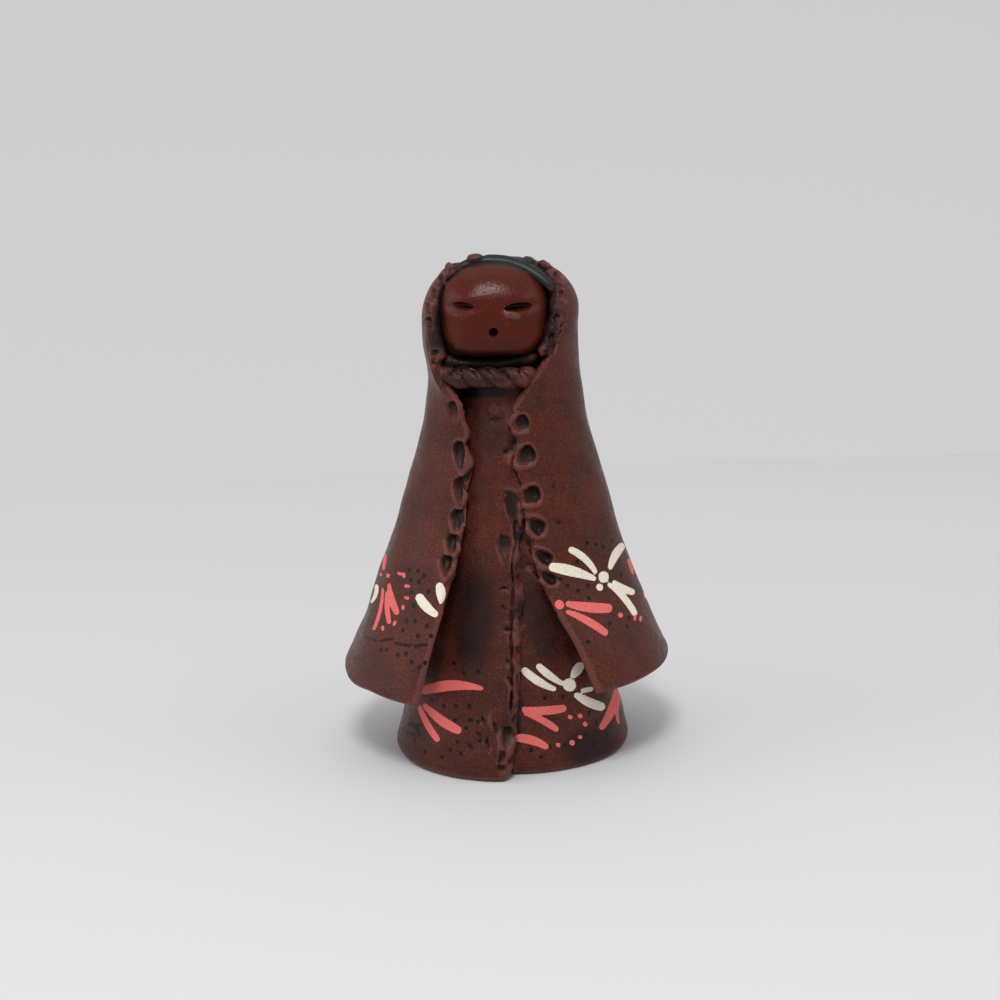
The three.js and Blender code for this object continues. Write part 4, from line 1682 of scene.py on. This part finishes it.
class NodeSheet:
    """A material's nodes, added by short calls."""

    def __init__(self, material: bpy.types.Material) -> None:
        """Starts on an empty material, with the place on the clay in millimetres.

        Args:
            material: the material whose nodes are made.
        """
        material.use_nodes = True
        self.tree = material.node_tree
        self.shader = self.tree.nodes["Principled BSDF"]
        scaled = self.tree.nodes.new("ShaderNodeVectorMath")
        scaled.operation = "SCALE"
        scaled.inputs["Scale"].default_value = 1.0 / MM
        self.link(self.tree.nodes.new("ShaderNodeTexCoord").outputs["Object"], scaled.inputs[0])
        self.place = scaled.outputs["Vector"]

    def link(self, value: object, socket: bpy.types.NodeSocket) -> None:
        """Feeds a socket from another socket or from a plain value.

        Args:
            value: a socket, a plain value or None.
            socket: the socket to feed.
        """
        if isinstance(value, bpy.types.NodeSocket):
            self.tree.links.new(value, socket)
        elif value is not None:
            socket.default_value = value

    def attribute(self, name: str, output: str = "Fac") -> bpy.types.NodeSocket:
        """Reads a vertex attribute.

        Args:
            name: the attribute's name.
            output: which of its outputs is used.

        Returns:
            The socket with its values.
        """
        node = self.tree.nodes.new("ShaderNodeAttribute")
        node.attribute_name = name
        return node.outputs[output]

    def length(self, vector: bpy.types.NodeSocket) -> bpy.types.NodeSocket:
        """The length of a vector.

        Args:
            vector: the socket with the vector.

        Returns:
            The socket with the result.
        """
        node = self.tree.nodes.new("ShaderNodeVectorMath")
        node.operation = "LENGTH"
        self.link(vector, node.inputs[0])
        return node.outputs["Value"]

    def stir(self, value: object, cloud: object, strength: float) -> bpy.types.NodeSocket:
        """A value that a cloudy pattern raises and lowers.

        Args:
            value: the value.
            cloud: the pattern, from 0 to 1.
            strength: how far it moves the value in all.

        Returns:
            The socket with the result.
        """
        return self.math("MULTIPLY_ADD", self.math("SUBTRACT", cloud, 0.5), strength, value)

    def math(self, operation: str, *values: object) -> bpy.types.NodeSocket:
        """One calculation.

        Args:
            operation: its name in Blender.
            values: what goes in, in order.

        Returns:
            The socket with the result.
        """
        node = self.tree.nodes.new("ShaderNodeMath")
        node.operation = operation
        for value, socket in zip(values, node.inputs):
            self.link(value, socket)
        return node.outputs[0]

    def ramp(
        self, value: object, low: float, high: float, start: float = 0.0, end: float = 1.0
    ) -> bpy.types.NodeSocket:
        """An eased ramp between two values of a socket.

        Args:
            value: what is mapped.
            low: the value where the ramp starts.
            high: the value where it ends.
            start: what it gives up to low.
            end: what it gives from high on.

        Returns:
            The socket with the result.
        """
        node = self.tree.nodes.new("ShaderNodeMapRange")
        node.interpolation_type = "SMOOTHSTEP"
        given = {"Value": value, "From Min": low, "From Max": high, "To Min": start, "To Max": end}
        for name, number in given.items():
            self.link(number, node.inputs[name])
        return node.outputs["Result"]

    def noise(self, scale: float, detail: float = 3.0, rough: float = 0.55) -> bpy.types.NodeSocket:
        """A cloudy pattern from 0 to 1 over the clay.

        Args:
            scale: how many clouds there are in a millimetre.
            detail: how many finer layers are added.
            rough: how strong the finer layers are.

        Returns:
            The socket with the pattern.
        """
        node = self.tree.nodes.new("ShaderNodeTexNoise")
        given = {"Vector": self.place, "Scale": scale, "Detail": detail, "Roughness": rough}
        for name, value in given.items():
            self.link(value, node.inputs[name])
        return node.outputs["Fac"]

    def blend(self, share: object, under: object, over: object) -> bpy.types.NodeSocket:
        """One colour over another.

        Args:
            share: how much of the upper colour shows.
            under: the lower colour.
            over: the upper colour.

        Returns:
            The socket with the mixed colour.
        """
        node = self.tree.nodes.new("ShaderNodeMix")
        node.data_type = "RGBA"
        self.link(share, node.inputs["Factor"])
        self.link(under, node.inputs["A"])
        self.link(over, node.inputs["B"])
        return node.outputs["Result"]


@dataclass(frozen=True)
class ClayFinish:
    """The colours and the gloss of the fired and painted clay."""

    brown: tuple[float, float, float, float] = (0.051, 0.0125, 0.008, 1.0)
    red: tuple[float, float, float, float] = (0.08, 0.014, 0.0075, 1.0)
    dark: tuple[float, float, float, float] = (0.028, 0.01, 0.008, 1.0)
    pale_grain: tuple[float, float, float, float] = (0.2, 0.1, 0.08, 1.0)
    face: tuple[float, float, float, float] = (0.06, 0.0065, 0.0024, 1.0)
    # Paler colour on the edges of the marks: wear and a painted sheen.
    rubbed_sheen: tuple[float, float, float, float] = (0.15, 0.05, 0.042, 1.0)
    # Near black: black glaze and paint, and painted shade in hollows and washes.
    soot_and_shade: tuple[float, float, float, float] = (0.0065, 0.005, 0.005, 1.0)
    hair: tuple[float, float, float, float] = (0.014, 0.017, 0.015, 1.0)
    white: tuple[float, float, float, float] = (0.66, 0.6, 0.5, 1.0)
    pink: tuple[float, float, float, float] = (0.6, 0.12, 0.11, 1.0)
    gloss: float = 0.33
    face_gloss: float = 0.2
    paint_gloss: float = 0.6
    hair_gloss: float = 0.36
    polish: float = 0.09
    dryness: float = 0.12
    shine: float = 0.14
    edge_wobble: float = 0.28
    worn_share: float = 0.55
    middle_relief: float = 0.13
    fine_relief: float = 0.055
    leather_relief: float = 0.12
    paint_relief: float = 0.09
    dot_relief: float = -0.3
    scratch_relief: float = -0.15

    def make(self, name: str) -> bpy.types.Material:
        """The material.

        Args:
            name: its name.

        Returns:
            The material, with its nodes.
        """
        material = bpy.data.materials.new(name)
        sheet = NodeSheet(material)
        middle = sheet.noise(0.55, 4.0, 0.6)
        fine = sheet.noise(2.6, 3.0, 0.6)
        face, hair = sheet.attribute("face"), sheet.attribute("hair")
        wobble = sheet.math("MULTIPLY", sheet.math("SUBTRACT", fine, 0.5), self.edge_wobble)
        dot = self.dot(sheet, wobble)
        white, pink, scratch = (self.mark(sheet, paint, wobble) for paint in Paint)
        worn = sheet.ramp(fine, 0.3, 0.42, self.worn_share, 1.0)
        colour = self.bare_clay(sheet, middle, fine, face)
        colour = self.residue_shade_and_sheen(sheet, colour, middle, fine)
        colour = sheet.blend(hair, colour, self.hair)
        colour = sheet.blend(dot, colour, self.soot_and_shade)
        colour = sheet.blend(scratch, colour, self.soot_and_shade)
        colour = sheet.blend(sheet.math("MULTIPLY", white, worn), colour, self.white)
        colour = sheet.blend(sheet.math("MULTIPLY", pink, worn), colour, self.pink)
        sheet.link(colour, sheet.shader.inputs["Base Color"])
        paint = sheet.math("MAXIMUM", white, pink)
        gloss = sheet.ramp(middle, 0.3, 0.7, self.gloss - self.polish, self.gloss + self.dryness)
        for share, over in ((face, self.face_gloss), (paint, self.paint_gloss), (hair, self.hair_gloss)):
            gloss = self.mix_value(sheet, share, gloss, over)
        sheet.link(gloss, sheet.shader.inputs["Roughness"])
        sheet.shader.inputs["Specular IOR Level"].default_value = self.shine
        height = sheet.math("MULTIPLY", middle, self.middle_relief)
        height = sheet.math("MULTIPLY_ADD", fine, self.fine_relief, height)
        height = sheet.math("MULTIPLY_ADD", sheet.noise(1.9, 3.0, 0.62), self.leather_relief, height)
        for smooth, share in ((face, 0.55), (hair, 0.25)):
            height = sheet.math("MULTIPLY", height, sheet.ramp(smooth, 0.0, 1.0, 1.0, share))
        reliefs = ((paint, self.paint_relief), (dot, self.dot_relief), (scratch, self.scratch_relief))
        for share, relief in reliefs:
            height = sheet.math("MULTIPLY_ADD", share, relief, height)
        bump = sheet.tree.nodes.new("ShaderNodeBump")
        bump.inputs["Strength"].default_value = 1.0
        bump.inputs["Distance"].default_value = MM
        sheet.link(height, bump.inputs["Height"])
        sheet.link(bump.outputs["Normal"], sheet.shader.inputs["Normal"])
        return material

    def bare_clay(self, sheet: NodeSheet, middle: object, fine: object, face: object) -> bpy.types.NodeSocket:
        """The colour of the clay before the black residue and the paint.

        Args:
            sheet: the material's nodes.
            middle: clouds of about two millimetres.
            fine: clouds of less than half a millimetre.
            face: 1 on the smooth face.

        Returns:
            The socket with the colour.
        """
        colour = sheet.blend(sheet.ramp(sheet.noise(0.11, 3.0), 0.36, 0.64), self.brown, self.red)
        colour = sheet.blend(sheet.ramp(middle, 0.5, 0.3, 0.0, 0.6), colour, self.dark)
        colour = sheet.blend(sheet.ramp(fine, 0.54, 0.38, 0.0, 0.65), colour, self.dark)
        colour = sheet.blend(sheet.ramp(sheet.noise(3.1, 2.0), 0.54, 0.7, 0.0, 0.26), colour, self.pale_grain)
        cover = sheet.math("MULTIPLY", face, sheet.ramp(middle, 0.35, 0.62, 0.62, 0.95))
        return sheet.blend(cover, colour, self.face)

    def residue_shade_and_sheen(self, sheet: NodeSheet, colour: object, middle: object, fine: object) -> bpy.types.NodeSocket:
        """The clay with the edges of its marks paler, as wear and painted sheen, and its hollows and washes
        black, as black glaze left in them and painted shade.

        Args:
            sheet: the material's nodes.
            colour: the bare clay.
            middle: clouds of about two millimetres.
            fine: clouds of less than half a millimetre.

        Returns:
            The socket with the colour.
        """
        # Hollows darken by their depth: black glaze and painted shade. The edges of the marks turn paler:
        # wear and a painted sheen.
        pit = sheet.attribute("pit")
        small = sheet.ramp(sheet.stir(pit, middle, 0.12), 0.05, 0.16, 0.0, 0.85)
        crease_shade = sheet.ramp(sheet.stir(sheet.attribute("crease"), fine, 0.3), 0.12, 0.42, 0.0, 0.85)
        wash = sheet.ramp(sheet.stir(sheet.attribute("soot_and_shade"), fine, 0.5), 0.2, 0.85, 0.0, 0.96)
        soot_and_shade = sheet.math("MAXIMUM", sheet.math("MAXIMUM", small, crease_shade), wash)
        ridge_wear_and_sheen = sheet.ramp(sheet.stir(pit, fine, -0.25), -0.09, -0.2, 0.0, 0.5)
        return sheet.blend(soot_and_shade, sheet.blend(ridge_wear_and_sheen, colour, self.rubbed_sheen), self.soot_and_shade)

    def dot(self, sheet: NodeSheet, wobble: object) -> bpy.types.NodeSocket:
        """Where the pricked dots lie.

        Args:
            sheet: the material's nodes.
            wobble: how uneven their edges are, in millimetres.

        Returns:
            A socket with 1 inside the dots.
        """
        offset = sheet.length(sheet.attribute("dot", "Vector"))
        gap = sheet.math("MAXIMUM", offset, sheet.math("SUBTRACT", sheet.attribute("dot_gap"), 0.3))
        return sheet.ramp(sheet.math("ADD", gap, wobble), 0.52, 0.38)

    def mark(self, sheet: NodeSheet, paint: Paint, wobble: object) -> object:
        """Where a paint lies: 1 inside its strokes."""
        return sheet.ramp(sheet.math("ADD", sheet.attribute(paint.value), wobble), 0.05, -0.05)

    def mix_value(self, sheet: NodeSheet, share: object, under: object, over: float) -> object:
        """One number over another."""
        rest = sheet.math("SUBTRACT", 1.0, share)
        return sheet.math("MULTIPLY_ADD", share, over, sheet.math("MULTIPLY", rest, under))


@dataclass(frozen=True)
class Lamp:
    """A soft square light that faces the figurine, with lengths in metres and its power in watts."""

    name: str
    place: tuple[float, float, float]
    size: float
    power: float


@dataclass
class Studio:
    """The pale floor and the slope behind it, the soft light and the camera. Sizes are in metres."""

    lens: Lens
    room_light: float = 0.62
    lamps: tuple[Lamp, ...] = (
        Lamp("key_light", (-0.05, -0.5, 0.72), 0.18, 4.1),
        Lamp("top_light", (0.0, -0.06, 0.85), 0.9, 1.3),
        Lamp("left_light", (-0.75, -0.15, 0.36), 0.6, 2.1),
        Lamp("right_light", (0.75, -0.15, 0.45), 0.6, 1.2),
    )
    lit_place: tuple[float, float, float] = (0.0, 0.0, 0.06)
    floor_half: float = 6.0
    floor_back: float = 0.232
    slope_lean: float = 0.027
    slope_run: float = 6.0
    slope_rise: float = 2.2
    floor_grey: float = 0.54
    slope_grey: float = 0.12
    slope_glow: float = 0.475

    def build(self) -> None:
        """Makes everything that isn't the figurine."""
        self.backdrop()
        for lamp in self.lamps:
            self.hang(lamp)
        self.camera()
        world = bpy.data.worlds.new("soft_room")
        world.use_nodes = True
        background = world.node_tree.nodes["Background"]
        background.inputs["Color"].default_value = (1.0, 1.0, 1.0, 1.0)
        background.inputs["Strength"].default_value = self.room_light
        bpy.context.scene.world = world
        bpy.context.scene.view_settings.view_transform = "Standard"

    def backdrop(self) -> None:
        """The floor, and a slope behind it that is low enough for a look from the back."""
        side, back = self.floor_half, self.floor_back
        run, rise = self.slope_run, self.slope_rise
        skew = side * self.slope_lean
        near_left, near_right = (-side, -side, 0.0), (side, -side, 0.0)
        back_left, back_right = (-side, back - skew, 0.0), (side, back + skew, 0.0)
        top_left, top_right = (-side, back - skew + run, rise), (side, back + skew + run, rise)
        floor = [near_left, near_right, back_right, back_left]
        slope = [back_left, back_right, top_right, top_left]
        self.sheet("pale_floor", floor, self.floor_grey, 0.0)
        self.sheet("pale_slope", slope, self.slope_grey, self.slope_glow)

    def sheet(self, name: str, corners: list[tuple[float, float, float]], grey: float, glow: float) -> None:
        """One plain matt sheet.

        Args:
            name: its name.
            corners: its four corners, in metres.
            grey: how light it is.
            glow: how much light it gives by itself.
        """
        mesh = bpy.data.meshes.new(name)
        mesh.from_pydata(corners, [], [(0, 1, 2, 3)])
        sheet = bpy.data.objects.new(name, mesh)
        bpy.context.scene.collection.objects.link(sheet)
        material = bpy.data.materials.new(name)
        material.use_nodes = True
        shader = material.node_tree.nodes["Principled BSDF"]
        shader.inputs["Base Color"].default_value = (grey, grey, grey * 1.003, 1.0)
        shader.inputs["Emission Color"].default_value = (1.0, 1.0, 1.0, 1.0)
        shader.inputs["Emission Strength"].default_value = glow
        shader.inputs["Roughness"].default_value = 0.9
        shader.inputs["Specular IOR Level"].default_value = 0.1
        mesh.materials.append(material)

    def hang(self, lamp: Lamp) -> None:
        """Puts one lamp in its place.

        Args:
            lamp: the lamp.
        """
        light = bpy.data.lights.new(lamp.name, "AREA")
        light.size = lamp.size
        light.energy = lamp.power
        hung = bpy.data.objects.new(lamp.name, light)
        hung.location = lamp.place
        away = Vector(self.lit_place) - Vector(lamp.place)
        hung.rotation_euler = away.to_track_quat("-Z", "Y").to_euler()
        bpy.context.scene.collection.objects.link(hung)

    def camera(self) -> None:
        """The camera at the photograph's view."""
        data = bpy.data.cameras.new("photo_view")
        data.sensor_width = self.lens.sensor
        data.lens = self.lens.focal_pixels / self.lens.picture * self.lens.sensor
        data.clip_start = 0.01
        camera = bpy.data.objects.new("photo_view", data)
        right, up = self.lens.axes()
        turn = Matrix((right, up, -self.lens.forward())).transposed().to_4x4()
        turn.translation = (self.lens.eye() + SHIFT) * MM
        camera.matrix_world = turn
        bpy.context.scene.collection.objects.link(camera)
        bpy.context.scene.camera = camera


def settle(figure: bpy.types.Object) -> None:
    """Moves the clay into the row frame, in metres, and smooths its shading.

    Args:
        figure: the fused clay, in millimetres of its own frame.
    """
    figure.data.transform(Matrix.Scale(MM, 4) @ Matrix.Translation(SHIFT))
    figure.data.shade_smooth()
    figure.data.set_sharp_from_angle(angle=math.radians(50.0))


def main() -> None:
    """Builds the figurine and the studio."""
    logging.basicConfig(level=logging.INFO, format="%(name)s: %(message)s")
    shawl = Shawl()
    dress = Dress()
    head = Head()
    collar = Collar()
    lens = Lens()
    coil = [collar.strand_mesh(0.0), collar.strand_mesh(math.pi)]
    parts = [shawl.mesh(), Shoulders(shawl).mesh(), head.mesh(), *coil, *HoodRim().meshes(lens)]
    figure = fuse(dress.mesh(), parts, [*head.cuts(), dress.hollow()], "fired_clay_figure")
    thin_out(figure, dress, THINNED_TRIANGLES)
    figure.data.calc_loop_triangles()
    log.info("fused: %d vertices, %d triangles", len(figure.data.vertices), len(figure.data.loop_triangles))
    painter = Painter(figure.data, lens, Decoration())
    painter.work_clay(FingerWork(), HairBand(), FaceMask())
    painter.paint()
    settle(figure)
    figure.data.materials.clear()
    figure.data.materials.append(ClayFinish().make("red_brown_clay"))
    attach(figure, BODY)
    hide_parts(NODE)
    Studio(lens).build()


if __name__ == "__main__":
    main()
